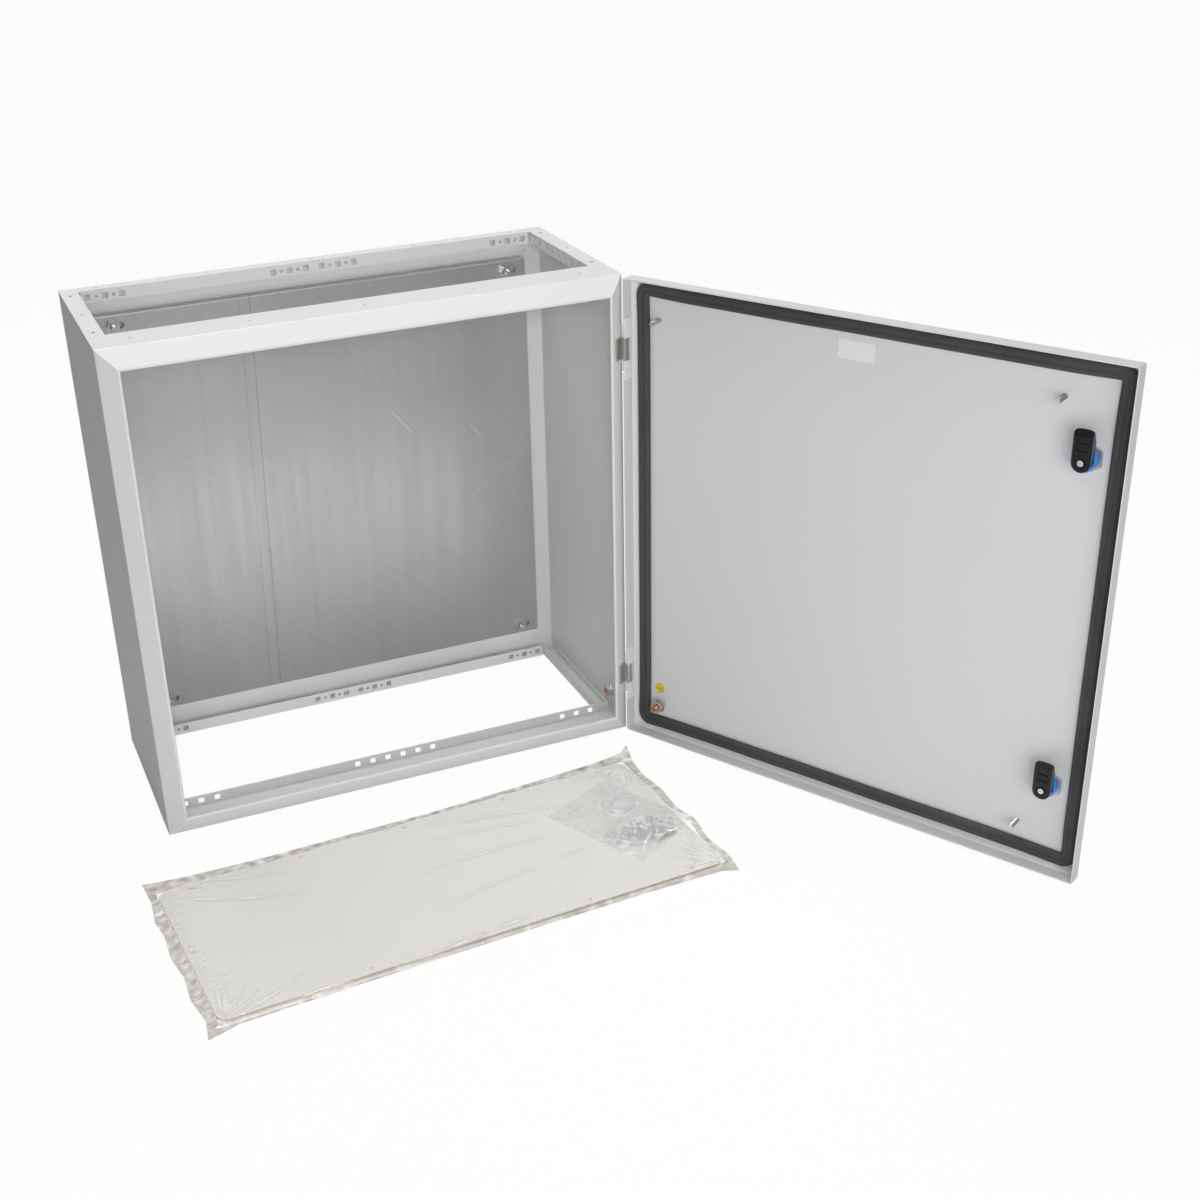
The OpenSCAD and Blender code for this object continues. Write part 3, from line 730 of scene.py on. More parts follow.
@dataclass(frozen=True)
class ClearFilm(Finish):
    """Thin packing film: clear where it lies flat, milky at seams, with a painted highlight in white on its
    folds.
    """

    clear: float = 0.05
    glint_white: Colour = (0.98, 0.98, 0.97)

    def build(self, effects: Effects) -> bpy.types.Material:
        """Makes the film's material, whose cover follows the piece's own haze and painted highlight.

        Args:
            effects: The shared node groups.

        Returns:
            The material.
        """
        material = bpy.data.materials.new(self.name)
        material.use_nodes = True
        bench = Bench(material.node_tree)
        place = bench.place()
        dark, light = self.shades()
        cloud = bench.call(effects.drift, {"Vector": place, "Scale": self.change_scale})
        haze, painted_glint = (
            bench.put("Attribute", attribute_name=label, attribute_type="GEOMETRY").outputs["Fac"]
            for label in ("haze", "painted_glint")
        )
        facing = bench.put("LayerWeight", {"Blend": 0.25}).outputs["Facing"]
        rim = bench.sum("MULTIPLY", bench.sum("POWER", facing, 2.0), 0.20)
        veil = bench.sum("ADD", bench.sum("ADD", haze, rim), self.clear)
        # white cover of the painted highlight on the folds
        white = bench.sum("MULTIPLY", painted_glint, 0.9)
        whole = bench.sum("ADD", veil, white)
        colour = bench.blend(
            bench.sum("DIVIDE", white, whole), bench.blend(cloud.outputs[0], dark, light), self.glint_white
        )
        cover = bench.sum("MINIMUM", whole, 1.0)
        peel = bench.call(effects.peel, {"Vector": place, "Wave": self.wave, "Grit": self.grit})
        bump = bench.put("Bump", {"Strength": self.relief, "Distance": 0.0006, "Height": peel.outputs[0]})
        rough = bench.call(
            effects.drift,
            {"Vector": place, "Scale": 30.0, "Low": self.roughness * 0.8, "High": self.roughness * 1.3},
        )
        shader = bench.put(
            "BsdfPrincipled",
            {"Base Color": colour, "Roughness": rough.outputs[0], "Specular IOR Level": self.specular,
             "Alpha": cover, "Normal": bump.outputs[0]},
        )
        out = bench.put("OutputMaterial", {"Surface": shader.outputs[0]})
        out.is_active_output = True
        return material


# ------------------------------------------------------------------- the door


@dataclass
class DoorAxes:
    """The door's own axes: closed, it stands in the plane of the body's front."""

    hinge: Vector = field(default_factory=Vector)
    angle: float = 0.0

    @classmethod
    def read(cls) -> "DoorAxes":
        """Takes the hinge line and the drawn opening angle from the frame's joint."""
        joint = next(j for j in frame["record"]["behaviour"]["joints"] if j["name"] == "door_hinge")
        return cls(Vector(joint["pos_m"]), math.radians(-min(joint["range_deg"])))

    def swing(self) -> Matrix:
        """The matrix that opens the closed door to its drawn angle."""
        to_line = Matrix.Translation(self.hinge)
        return to_line @ Matrix.Rotation(self.angle, 4, "Z") @ to_line.inverted()

    def closed(self, node: str) -> np.ndarray:
        """The points of a door node, swung back to the closed position."""
        points = node_points(node)
        back = np.array(self.swing().inverted())
        return points @ back[:3, :3].T + back[:3, 3]

    def inward(self) -> Vector:
        """The direction from the door's skin to the inside of the enclosure, as drawn."""
        return (self.swing().to_3x3() @ Vector((0, 1, 0))).normalized()

    def along(self) -> Vector:
        """The direction from the free edge to the hinge, as drawn."""
        return (self.swing().to_3x3() @ Vector((1, 0, 0))).normalized()


@dataclass
class FoamGasket:
    """Seal that is foamed onto the door's inner skin: two soft ridges with a groove."""

    axes: DoorAxes
    corner: float = 18 * MM
    corner_steps: int = 8
    side_cuts: int = 38
    swell: float = 2.0 * MM
    swell_reach: float = 38 * MM
    sway: float = 0.7 * MM
    seed: int = 3
    # width and rise of each step across the strip, from the outer edge inwards
    steps: tuple[Point, ...] = (
        (0.5, 2.6), (1.1, 2.3), (1.9, 1.6), (2.3, 0.7), (2.3, -0.5), (1.1, -1.5), (1.1, 1.1),
        (2.2, 0.5), (2.0, -0.7), (1.6, -1.6), (0.9, -2.2), (0.5, -2.1),
    )

    def build(self) -> bpy.types.Object:
        """Models the ring flat, sways it, and stands it on the door.

        Returns:
            The gasket in its place.
        """
        box = self.axes.closed("door_gasket")
        low, high = box.min(0), box.max(0)
        width, height = high[0] - low[0], high[2] - low[2]
        rise = high[1] - low[1]
        bpy.ops.mesh.primitive_plane_add(size=1.0, location=(0, 0, 0))
        ring = bpy.context.object
        ring.scale = (width, height, 1)
        bake_place(ring)
        with editing(ring):
            bpy.ops.mesh.select_all(action="SELECT")
            bpy.ops.mesh.bevel(offset=self.corner, segments=self.corner_steps, affect="VERTICES")
            pick(ring, Part.EDGES, lambda e: e.calc_length() > 4 * self.corner)
            bpy.ops.mesh.subdivide(number_cuts=self.side_cuts)
            bpy.ops.mesh.select_mode(type="FACE")
            bpy.ops.mesh.select_all(action="SELECT")
            total = sum(r for _, r in self.steps[:4]) * MM
            for across, up in self.steps:
                bpy.ops.mesh.inset(
                    thickness=across * MM, depth=up * MM * rise / total, use_boundary=True,
                    use_even_offset=True,
                )
            bpy.ops.mesh.delete(type="FACE")
            pick(ring, Part.EDGES, lambda e: e.is_boundary)
            bpy.ops.mesh.bridge_edge_loops()
        self.sway_strip(ring, width / 2, height / 2)
        face_outwards(ring)
        take(ring)
        bpy.ops.object.modifier_add(type="SUBSURF")
        ring.modifiers[0].levels = ring.modifiers[0].render_levels = 1
        bpy.ops.object.modifier_apply(modifier=ring.modifiers[0].name)
        soften(ring, 60)
        centre = Vector(((low[0] + high[0]) / 2, low[1], (low[2] + high[2]) / 2))
        stand = Matrix(((-1, 0, 0, centre.x), (0, 0, 1, centre.y), (0, 1, 0, centre.z), (0, 0, 0, 1)))
        seat(ring, self.axes.swing() @ stand)
        return weld([ring], "foam_gasket")

    def sway_strip(self, ring: bpy.types.Object, half_w: float, half_h: float) -> None:
        """Pushes the corners out and lets the strip wander, as foam that was poured does.

        Args:
            ring: The strip.
            half_w: Half its width.
            half_h: Half its height.
        """
        noise.seed_set(self.seed)  # the same wander at every run
        for vert in ring.data.vertices:
            x, y, z = vert.co
            corner = Vector((math.copysign(half_w, x) - x, math.copysign(half_h, y) - y))
            near = math.exp(-((corner.length / self.swell_reach) ** 2))
            wander = noise.noise_vector(Vector((x * 9, y * 9, 3.0))) * self.sway
            vert.co.x += math.copysign(self.swell * near, x) + wander.x
            vert.co.y += math.copysign(self.swell * near, y) + wander.y
            if z > 2 * MM:
                vert.co.z += noise.noise(Vector((x * 14, y * 14, 9.0))) * 0.35 * MM


# ------------------------------------------------------------------ fasteners


@dataclass
class ThreadedStud:
    """A stud with a rolled thread, modelled along its own Z from the origin."""

    radius: float
    pitch: float
    sides: int = 24
    tip: float = 0.84
    collar: float = 0.0
    depth: float = 0.6
    # wider than one stud, narrower than the distance between two
    reach: float = 60 * MM

    def build(self, length: float) -> bpy.types.Object:
        """Models one stud.

        Args:
            length: From its foot to its tip, in metres.

        Returns:
            The stud at the origin.
        """
        bpy.ops.mesh.primitive_cylinder_add(
            vertices=self.sides, radius=self.radius, depth=length, location=(0, 0, length / 2)
        )
        stud = bake_place(bpy.context.object)
        turns = max(3, round(length / self.pitch))
        step = length / (2 * turns)
        root = (self.radius - self.depth * self.pitch) / self.radius
        with editing(stud):
            pick(stud, Part.EDGES, lambda e: abs(e.verts[0].co.z - e.verts[1].co.z) > 0.9 * length)
            bpy.ops.mesh.subdivide(number_cuts=2 * turns - 1)
            pick(stud, Part.VERTS, lambda v: round(v.co.z / step) % 2 == 1)
            bpy.ops.transform.resize(value=(root, root, 1), center_override=(0, 0, 0))
            pick(stud, Part.VERTS, lambda v: v.co.z > length - 0.2 * step)
            bpy.ops.transform.resize(value=(self.tip, self.tip, 1), center_override=(0, 0, 0))
            if self.collar:
                pick(stud, Part.VERTS, lambda v: v.co.z < 1.4 * step)  # the weld flash at the foot
                grow = self.collar / self.radius
                bpy.ops.transform.resize(value=(grow, grow, 1), center_override=(0, 0, 0))
        soften(stud, 25)
        return stud

    def set_on(self, node: str, axis: Vector, name: str) -> bpy.types.Object:
        """Puts a stud over each solid of a node.

        Args:
            node: The node whose plain studs are stood in for.
            axis: The direction of the studs' tips.
            name: The finished piece's name.

        Returns:
            The studs as one piece.
        """
        solids = clumps(node_points(node), self.reach)
        ends = solids[0] @ np.array(axis)
        model = self.build(float(ends.max() - ends.min()))
        studs = []
        for solid in solids:
            middle = Vector((solid.min(0) + solid.max(0)) / 2)
            foot = middle + axis * (float((solid @ np.array(axis)).min()) - middle.dot(axis))
            studs.append(seat(twin(model), pointing(axis, foot)))
        bpy.data.objects.remove(model)
        return weld(studs, name)


# ----------------------------------------------------------- packed gland kit


@dataclass
class PlateAxes:
    """The loose plates' own axes: A runs along them from the left, B from the rear to the front."""

    turn: float = 0.0
    corner: Vector = field(default_factory=Vector)
    size: tuple[float, float] = (0.0, 0.0)
    top: float = 0.0
    ground: float = 0.0

    @classmethod
    def read(cls) -> "PlateAxes":
        """Finds the plates' corner, size and top from the frame.

        Returns:
            The plates' axes.
        """
        axes = cls()
        points = node_points("gland_plate_upper")
        long_way = np.linalg.eigh(np.cov(points[:, :2].T))[1][:, 1]
        axes.turn = math.atan(long_way[1] / long_way[0])
        turn = np.array(Matrix.Rotation(-axes.turn, 3, "Z"))
        flat = points @ turn.T
        low, high = flat.min(0), flat.max(0)
        axes.corner = Matrix.Rotation(axes.turn, 3, "Z") @ Vector((low[0], high[1], 0.0))
        axes.size = (float(high[0] - low[0]), float(high[1] - low[1]))
        axes.top = float(points[:, 2].max())
        axes.ground = float(node_points("gland_plate_lower")[:, 2].min())
        return axes

    def place(self) -> Matrix:
        """The matrix from (A, -B, height above the ground) to the row frame."""
        spot = Vector((self.corner.x, self.corner.y, self.ground))
        return Matrix.Translation(spot) @ Matrix.Rotation(self.turn, 4, "Z")


@dataclass
class Crease:
    """A raised fold line in film: points in millimetres, its half width and its height."""

    line: tuple[Point, ...]
    width: float = 2.2
    height: float = 0.8
    haze: float = 0.05

    def painted_glint(self) -> float:
        """How white the painted highlight on the crest of the fold is, from 0 to 1."""
        return min(1.0, 0.35 + 7.0 * self.haze)

    def lift(self, at: np.ndarray) -> np.ndarray:
        """How much the fold raises each point, as a share of its height.

        Args:
            at: Points in millimetres, one row each.

        Returns:
            A share from 0 to 1 for each point.
        """
        ends = np.array(self.line, float)
        pieces = np.linalg.norm(np.diff(ends, axis=0), axis=1)
        total, gone = pieces.sum(), 0.0
        best = np.zeros(len(at))
        for start, stop, length in zip(ends[:-1], ends[1:], pieces):
            way = (stop - start) / length
            along = np.clip((at - start) @ way, 0, length)
            off = np.linalg.norm(at - start - along[:, None] * way, axis=1)
            share = np.sin(np.pi * np.clip((gone + along) / total, 0.02, 0.98)) ** 0.6
            best = np.maximum(best, np.exp(-((off / self.width) ** 2)) * share)
            best[best < 1e-9] = 0.0
            gone += length
        return best


@dataclass
class FilmSheet:
    """A sheet of clear film, as a grid whose outline and heights are set point by point."""

    axes: PlateAxes
    rear: tuple[Point, ...]
    front: tuple[Point, ...]
    left: tuple[Point, ...]
    right: tuple[Point, ...]
    cells: tuple[int, int]
    creases: list[Crease] = field(default_factory=list)

    @staticmethod
    def follow(line: Sequence[Point], share: np.ndarray) -> np.ndarray:
        """Points at equal shares along a border line."""
        ends = np.array(line, float)
        steps = np.concatenate([[0], np.cumsum(np.linalg.norm(np.diff(ends, axis=0), axis=1))])
        return np.stack([np.interp(share * steps[-1], steps, ends[:, i]) for i in range(2)], axis=1)

    def grid(self) -> bpy.types.Object:
        """Adds the flat grid, one unit wide and high."""
        across, down = self.cells
        bpy.ops.mesh.primitive_grid_add(
            x_subdivisions=across, y_subdivisions=down, size=1.0, location=(0, 0, 0)
        )
        return bpy.context.object

    def outline(self, sheet: bpy.types.Object) -> np.ndarray:
        """Spreads the grid between its four border lines.

        Args:
            sheet: The flat grid.

        Returns:
            The place of each point in A and B, in millimetres.
        """
        flat = np.empty(len(sheet.data.vertices) * 3)
        sheet.data.vertices.foreach_get("co", flat)
        u, v = flat[0::3] + 0.5, 0.5 - flat[1::3]
        rear, front = self.follow(self.rear, u), self.follow(self.front, u)
        left, right = self.follow(self.left, v), self.follow(self.right, v)
        c = [np.array(p, float) for p in (self.rear[0], self.rear[-1], self.front[0], self.front[-1])]
        u, v = u[:, None], v[:, None]
        corners = (1 - u) * (1 - v) * c[0] + u * (1 - v) * c[1] + (1 - u) * v * c[2] + u * v * c[3]
        return (1 - v) * rear + v * front + (1 - u) * left + u * right - corners

    def raise_folds(self, at: np.ndarray) -> tuple[np.ndarray, np.ndarray, np.ndarray]:
        """Height, haze and painted highlight that the folds add, in millimetres and as shares.

        Args:
            at: The place of each point in A and B.

        Returns:
            One value a point for each of the three.
        """
        lift, haze, painted_glint = np.zeros(len(at)), np.zeros(len(at)), np.zeros(len(at))
        broken = np.array([noise.noise(Vector((a * 0.03, b * 0.03, 7))) for a, b in at])
        for crease in self.creases:
            share = crease.lift(at)
            lift = np.maximum(lift, 0.35 * crease.height * share)
            haze = np.maximum(haze, 0.3 * crease.haze * share)
            # a painted highlight along the crest of each fold, broken along its length
            streak = share**1.2 * np.clip(0.85 + 0.9 * broken, 0.25, 1) + 0.14 * share**0.35
            painted_glint = np.maximum(painted_glint, crease.painted_glint() * streak)
        return lift, haze, painted_glint

    def finish(self, sheet: bpy.types.Object, at: np.ndarray, height: np.ndarray, haze: np.ndarray,
               painted_glint: np.ndarray, name: str) -> bpy.types.Object:
        """Writes places, heights, haze and painted highlight into the sheet and puts it in place.

        Args:
            sheet: The grid.
            at: A and B of each point, in millimetres.
            height: Height of each point above the ground, in millimetres.
            haze: Milkiness of each point, from 0 to 1.
            painted_glint: Whiteness of each point, from 0 to 1.
            name: The piece's name.

        Returns:
            The finished sheet.
        """
        points = np.stack([at[:, 0] * MM, -at[:, 1] * MM, height * MM], axis=1)
        sheet.data.vertices.foreach_set("co", points.ravel())
        for label, values in (("haze", haze), ("painted_glint", painted_glint)):
            layer = sheet.data.attributes.new(label, "FLOAT", "POINT")
            layer.data.foreach_set("value", np.clip(values, 0, 1).astype(np.float32))
        sheet.data.update()
        take(sheet)
        bpy.ops.object.shade_smooth()
        seat(sheet, self.axes.place())
        return weld([sheet], name)


def from_heap(at: np.ndarray, heap: Point) -> np.ndarray:
    """Distance of each point from the heap of screws, which is half as long again along A."""
    return np.hypot((at[:, 0] - heap[0]) / 1.5, at[:, 1] - heap[1])


@dataclass
class FilmBag(FilmSheet):
    """The bag round the loose plates: tight on top, crimped and sealed at both ends."""

    heap: Point = (0.0, 0.0)
    heap_rise: float = 10.6
    clearance: float = 0.35
    rest: float = 0.45
    skirt: Point = (5.0, 9.0)

    def build(self) -> bpy.types.Object:
        """Lays the bag over the plates.

        Returns:
            The film bag.
        """
        sheet = self.grid()
        at = self.outline(sheet)
        length, depth = (s / MM for s in self.axes.size)
        top = (self.axes.top - self.axes.ground) / MM
        out_a = np.maximum(np.maximum(-at[:, 0], at[:, 0] - length), 0)
        out_b = np.maximum(np.maximum(-at[:, 1], at[:, 1] - depth), 0)
        out = np.hypot(out_a, out_b)
        wave = np.array([noise.noise(Vector((a * 0.02, b * 0.02, 5))) for a, b in at])
        ripple = np.array([noise.noise(Vector((a * 0.006, b * 0.16, 1))) for a, b in at])
        skirt = self.skirt[0] + (self.skirt[1] - self.skirt[0]) * np.clip(wave + 0.3, 0, 1)
        height = self.rest + (top + self.clearance - self.rest) * (1 - smooth(out / skirt))
        inside = smooth(np.minimum.reduce([at[:, 0], length - at[:, 0], at[:, 1], depth - at[:, 1]]) / 14)
        lift, haze, painted_glint = self.raise_folds(at)
        height += lift + 0.25 * inside * (1 + wave)
        crimp = smooth(out_a / 3)
        height += crimp * 1.5 * np.abs(ripple) * (0.5 + np.abs(wave))
        height += self.heap_rise * smooth(1 - (from_heap(at, self.heap) - 29) / 22)
        margin = smooth(out / 1.2)
        facet = np.array([noise.noise(Vector((a * 0.10, b * 0.10, 12))) for a, b in at])
        # the seams are veiled in the film's beige, which is partly its own tint and partly painted shade of
        # the bag lying over the floor
        haze = haze + margin * (0.60 + 0.45 * facet + 0.25 * crimp * ripple)
        # painted highlights: white glints on the crimped seams, and a painted white glow along the left end
        # of the bag
        painted_margin_glints = smooth((ripple - 0.12) / 0.12) * (0.3 + 0.7 * crimp) * np.clip(0.75 + facet, 0, 1)
        edge = smooth(1 - at[:, 0] / 26) * (0.32 + 0.5 * np.clip(ripple, -0.3, 1)) * (1 - margin)
        painted_glint = np.maximum.reduce([painted_glint * (1 - 0.7 * margin), margin * painted_margin_glints, edge])
        return self.finish(sheet, at, height, haze, painted_glint, "packing_film")


@dataclass
class SmallScrew:
    """A pan head screw, modelled once along its own Z with the head at the top."""

    shank: float = 2.3 * MM
    head: float = 4.6 * MM
    length: float = 13 * MM
    threads: int = 6
    root: float = 0.78
    head_wall: float = 1.3 * MM
    head_dome: float = 0.8 * MM
    recess: float = 1.1 * MM

    def build(self) -> bpy.types.Object:
        """Models the screw.

        Returns:
            The screw, with its middle at the origin.
        """
        bpy.ops.mesh.primitive_cylinder_add(
            vertices=14, radius=self.shank, depth=self.length, location=(0, 0, 0)
        )
        screw = bpy.context.object
        top = self.length / 2
        with editing(screw):
            pick(screw, Part.EDGES, lambda e: abs(e.verts[0].co.z - e.verts[1].co.z) > 0.9 * self.length)
            bpy.ops.mesh.subdivide(number_cuts=2 * self.threads - 1)
            step = self.length / (2 * self.threads)
            pick(screw, Part.VERTS, lambda v: round((v.co.z + top) / step) % 2 == 1)
            bpy.ops.transform.resize(value=(self.root, self.root, 1), center_override=(0, 0, 0))
            pick(screw, Part.FACES, lambda f: f.calc_center_median().z > top - 0.1 * step)
            grow = self.head / self.shank
            bpy.ops.mesh.extrude_region_move(TRANSFORM_OT_translate={"value": (0, 0, 0.02 * MM)})
            bpy.ops.transform.resize(value=(grow, grow, 1), center_override=(0, 0, 0))
            bpy.ops.mesh.extrude_region_move(TRANSFORM_OT_translate={"value": (0, 0, self.head_wall)})
            bpy.ops.transform.resize(value=(0.93, 0.93, 1), center_override=(0, 0, 0))
            bpy.ops.mesh.extrude_region_move(TRANSFORM_OT_translate={"value": (0, 0, self.head_dome)})
            bpy.ops.transform.resize(value=(0.66, 0.66, 1), center_override=(0, 0, 0))
            bpy.ops.mesh.inset(thickness=1.0 * MM, depth=0)
            bpy.ops.mesh.inset(thickness=0.3 * MM, depth=-self.recess)
        soften(screw, 35)
        return screw


@dataclass
class ScrewPouch:
    """The small pouch on the plates: a film square, its screws and a loose clear ring."""

    axes: PlateAxes
    corners: tuple[Point, Point, Point, Point] = ((458, 68), (556, 27), (606, 152), (512, 204))
    heap: Point = (545.0, 157.0)
    heap_reach: Point = (33.0, 21.0)
    heap_rise: float = 9.6
    clearance: float = 0.18
    loop_spot: Point = (548.0, 88.0)
    loop_radius: float = 17.0
    loop_rise: float = 4.2
    count: int = 18
    seed: int = 11

    def screws(self) -> bpy.types.Object:
        """Strews the screws over the heap.

        Returns:
            All screws as one piece.
        """
        draw = random.Random(self.seed)
        top = self.axes.top - self.axes.ground
        model = SmallScrew()
        first = model.build()
        made = []
        for index in range(self.count):
            turn, lean = draw.uniform(0, 2 * math.pi), draw.uniform(-0.015, 0.015)
            share, spin = math.sqrt((index + 0.5) / self.count), index * 2.4
            a = (self.heap[0] + self.heap_reach[0] * share * math.cos(spin)) * MM
            b = (self.heap[1] + self.heap_reach[1] * share * math.sin(spin)) * MM
            z = top + model.head + 0.15 * MM
            lying = Matrix.Rotation(turn, 4, "Z") @ Matrix.Rotation(math.radians(86) + lean, 4, "Y")
            screw = twin(first)
            seat(screw, self.axes.place() @ Matrix.Translation((a, -b, z)) @ lying)
            made.append(screw)
        bpy.data.objects.remove(first)
        return weld(made, "pouch_screws")

    def ring(self) -> bpy.types.Object:
        """Lays the clear plastic loop beside the screws.

        Returns:
            The loop.
        """
        bpy.ops.mesh.primitive_torus_add(
            major_radius=self.loop_radius * MM, minor_radius=1.3 * MM, major_segments=56, minor_segments=10,
            location=(0, 0, 0),
        )
        loop = bpy.context.object
        for vert in loop.data.vertices:
            angle = math.atan2(vert.co.y, vert.co.x)
            vert.co.x *= 1.0 + 0.12 * math.cos(2 * angle)
            vert.co.y *= 0.82
            vert.co.z += 0.6 * MM * math.sin(2 * angle + 0.6)
        soften(loop, 60)
        a, b = (s * MM for s in self.loop_spot)
        level = self.axes.top - self.axes.ground + 2.4 * MM
        seat(loop, self.axes.place() @ Matrix.Translation((a, -b, level)) @ Matrix.Rotation(0.5, 4, "Z"))
        return weld([loop], "clear_loop")

    def film(self) -> bpy.types.Object:
        """Lays the pouch's film over the screws.

        Returns:
            The pouch.
        """
        a, b, c, d = self.corners
        cells = ((88, 120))
        sheet = FilmSheet(self.axes, rear=(a, b), front=(d, c), left=(a, d), right=(b, c), cells=cells)
        sheet.creases = [
            Crease(((470, 80), (512, 150)), 1.8, 0.9, 0.18), Crease(((480, 72), (530, 128)), 1.6, 0.8, 0.14),
            Crease(((498, 62), (520, 110)), 1.5, 0.7, 0.12), Crease(((520, 190), (545, 168)), 1.6, 0.9, 0.16),
            Crease(((474, 100), (500, 160)), 1.5, 0.7, 0.2), Crease(((590, 120), (560, 95)), 1.6, 0.8, 0.14),
            Crease(((505, 130), (535, 150)), 1.6, 1.0, 0.2), Crease(((575, 176), (555, 150)), 1.6, 0.9, 0.18),
        ]
        grid = sheet.grid()
        at = sheet.outline(grid)
        top = (self.axes.top - self.axes.ground) / MM
        lift, haze, painted_glint = sheet.raise_folds(at)
        wave = np.array([noise.noise(Vector((x * 0.09, y * 0.09, 2))) for x, y in at])
        low = top + self.clearance
        height = low + lift * 0.4 + self.heap_rise * smooth(1 - (from_heap(at, self.heap) - 26) / 12)
        loop = np.hypot(at[:, 0] - self.loop_spot[0], at[:, 1] - self.loop_spot[1])
        height = np.maximum(height, low + self.loop_rise * smooth(1 - (loop - self.loop_radius - 1) / 10))
        height += 0.25 * np.abs(wave)
        haze = haze + 0.24 + 0.28 * np.abs(wave)
        # the pouch's folds carry half as much painted highlight
        return sheet.finish(grid, at, height, haze, painted_glint * 0.5, "screw_pouch")


def bag_creases() -> list[Crease]:
    """The folds of the bag: long ones from the corners, combs and fans at the ends.

    Returns:
        The folds, in millimetres from the plates' rear left corner.
    """
    draw = random.Random(5)
    folds = [
        Crease(((6, 4), (20, 20), (40, 33), (64, 47), (96, 60), (130, 70), (154, 76)), 3.2, 1.2, 0.10),
        Crease(((30, -2), (69, 7), (97, 16), (126, 26), (146, 32)), 2.7, 1.0, 0.08),
        Crease(((19, 0), (41, 6), (57, 26)), 2.2, 0.8, 0.06),
        Crease(((11, 251), (32, 244), (61, 234), (87, 223), (108, 211)), 2.7, 1.1, 0.10),
        Crease(((44, 258), (89, 250), (141, 246)), 2.4, 0.7, 0.05),
        Crease(((217, 250), (255, 247), (300, 243)), 3.2, 1.6, 0.22),
        Crease(((312, 240), (330, 239), (350, 237)), 3.5, 1.3, 0.18),
        Crease(((270, 181), (318, 168), (358, 161), (404, 156)), 3.0, 0.9, 0.06),
        Crease(((285, 106), (345, 102), (397, 102), (452, 107)), 3.0, 0.9, 0.06),
        Crease(((305, 46), (353, 53), (391, 58), (438, 70)), 2.7, 0.8, 0.05),
        Crease(((320, 18), (364, 27), (401, 34), (437, 43), (488, 57)), 3.2, 1.1, 0.06),
        Crease(((330, 24), (370, 33), (410, 41), (450, 52)), 2.2, 0.8, 0.04),
        Crease(((430, 153), (481, 146)), 2.4, 0.7, 0.04),
        Crease(((602, 0), (596, 34), (594, 66)), 3.0, 1.2, 0.14),
        Crease(((566, 233), (598, 246)), 2.4, 0.9, 0.10),
    ]
    for index in range(17):
        start = 40 + index * 12 + draw.uniform(-3, 3)
        reach = draw.uniform(9, 20) + (12 if index > 10 else 0)
        tip = (2 + reach, start - draw.uniform(2, 7))
        folds.append(Crease(((2, start), tip), 2.0, draw.uniform(0.35, 0.9), 0.10))
    for base, spans in (((5, 246), (-84, -12)), ((592, 242), (186, 262)), ((590, 8), (98, 172))):
        for index in range(9):
            angle = math.radians(spans[0] + (spans[1] - spans[0]) * (index + 0.5) / 9 + draw.uniform(-3, 3))
            reach = draw.uniform(22, 62)
            tip = (base[0] + reach * math.cos(angle), base[1] + reach * math.sin(angle))
            folds.append(Crease((base, tip), 2.2, draw.uniform(0.4, 0.9), 0.12))
    return folds


# --------------------------------------------------------------------- studio


@dataclass(frozen=True)
class Lamp:
    """One soft square lamp, with its size in metres and its power in watts."""

    name: str
    spot: Vector
    target: Vector
    size: float
    power: float
    tone: Colour = (1.0, 0.99, 0.975)
    mirrored: bool = True

    def hang(self) -> bpy.types.Object:
        """Hangs the lamp at its spot and points it at its target.

        Returns:
            The lamp.
        """
        bpy.ops.object.light_add(type="AREA", location=self.spot)
        lamp = bpy.context.object
        lamp.name = self.name
        lamp.data.shape = "SQUARE"
        lamp.data.size = self.size
        lamp.data.energy = self.power
        lamp.data.color = self.tone
        lamp.rotation_euler = (self.target - self.spot).to_track_quat("-Z", "Y").to_euler()
        lamp.visible_glossy = self.mirrored
        return lamp


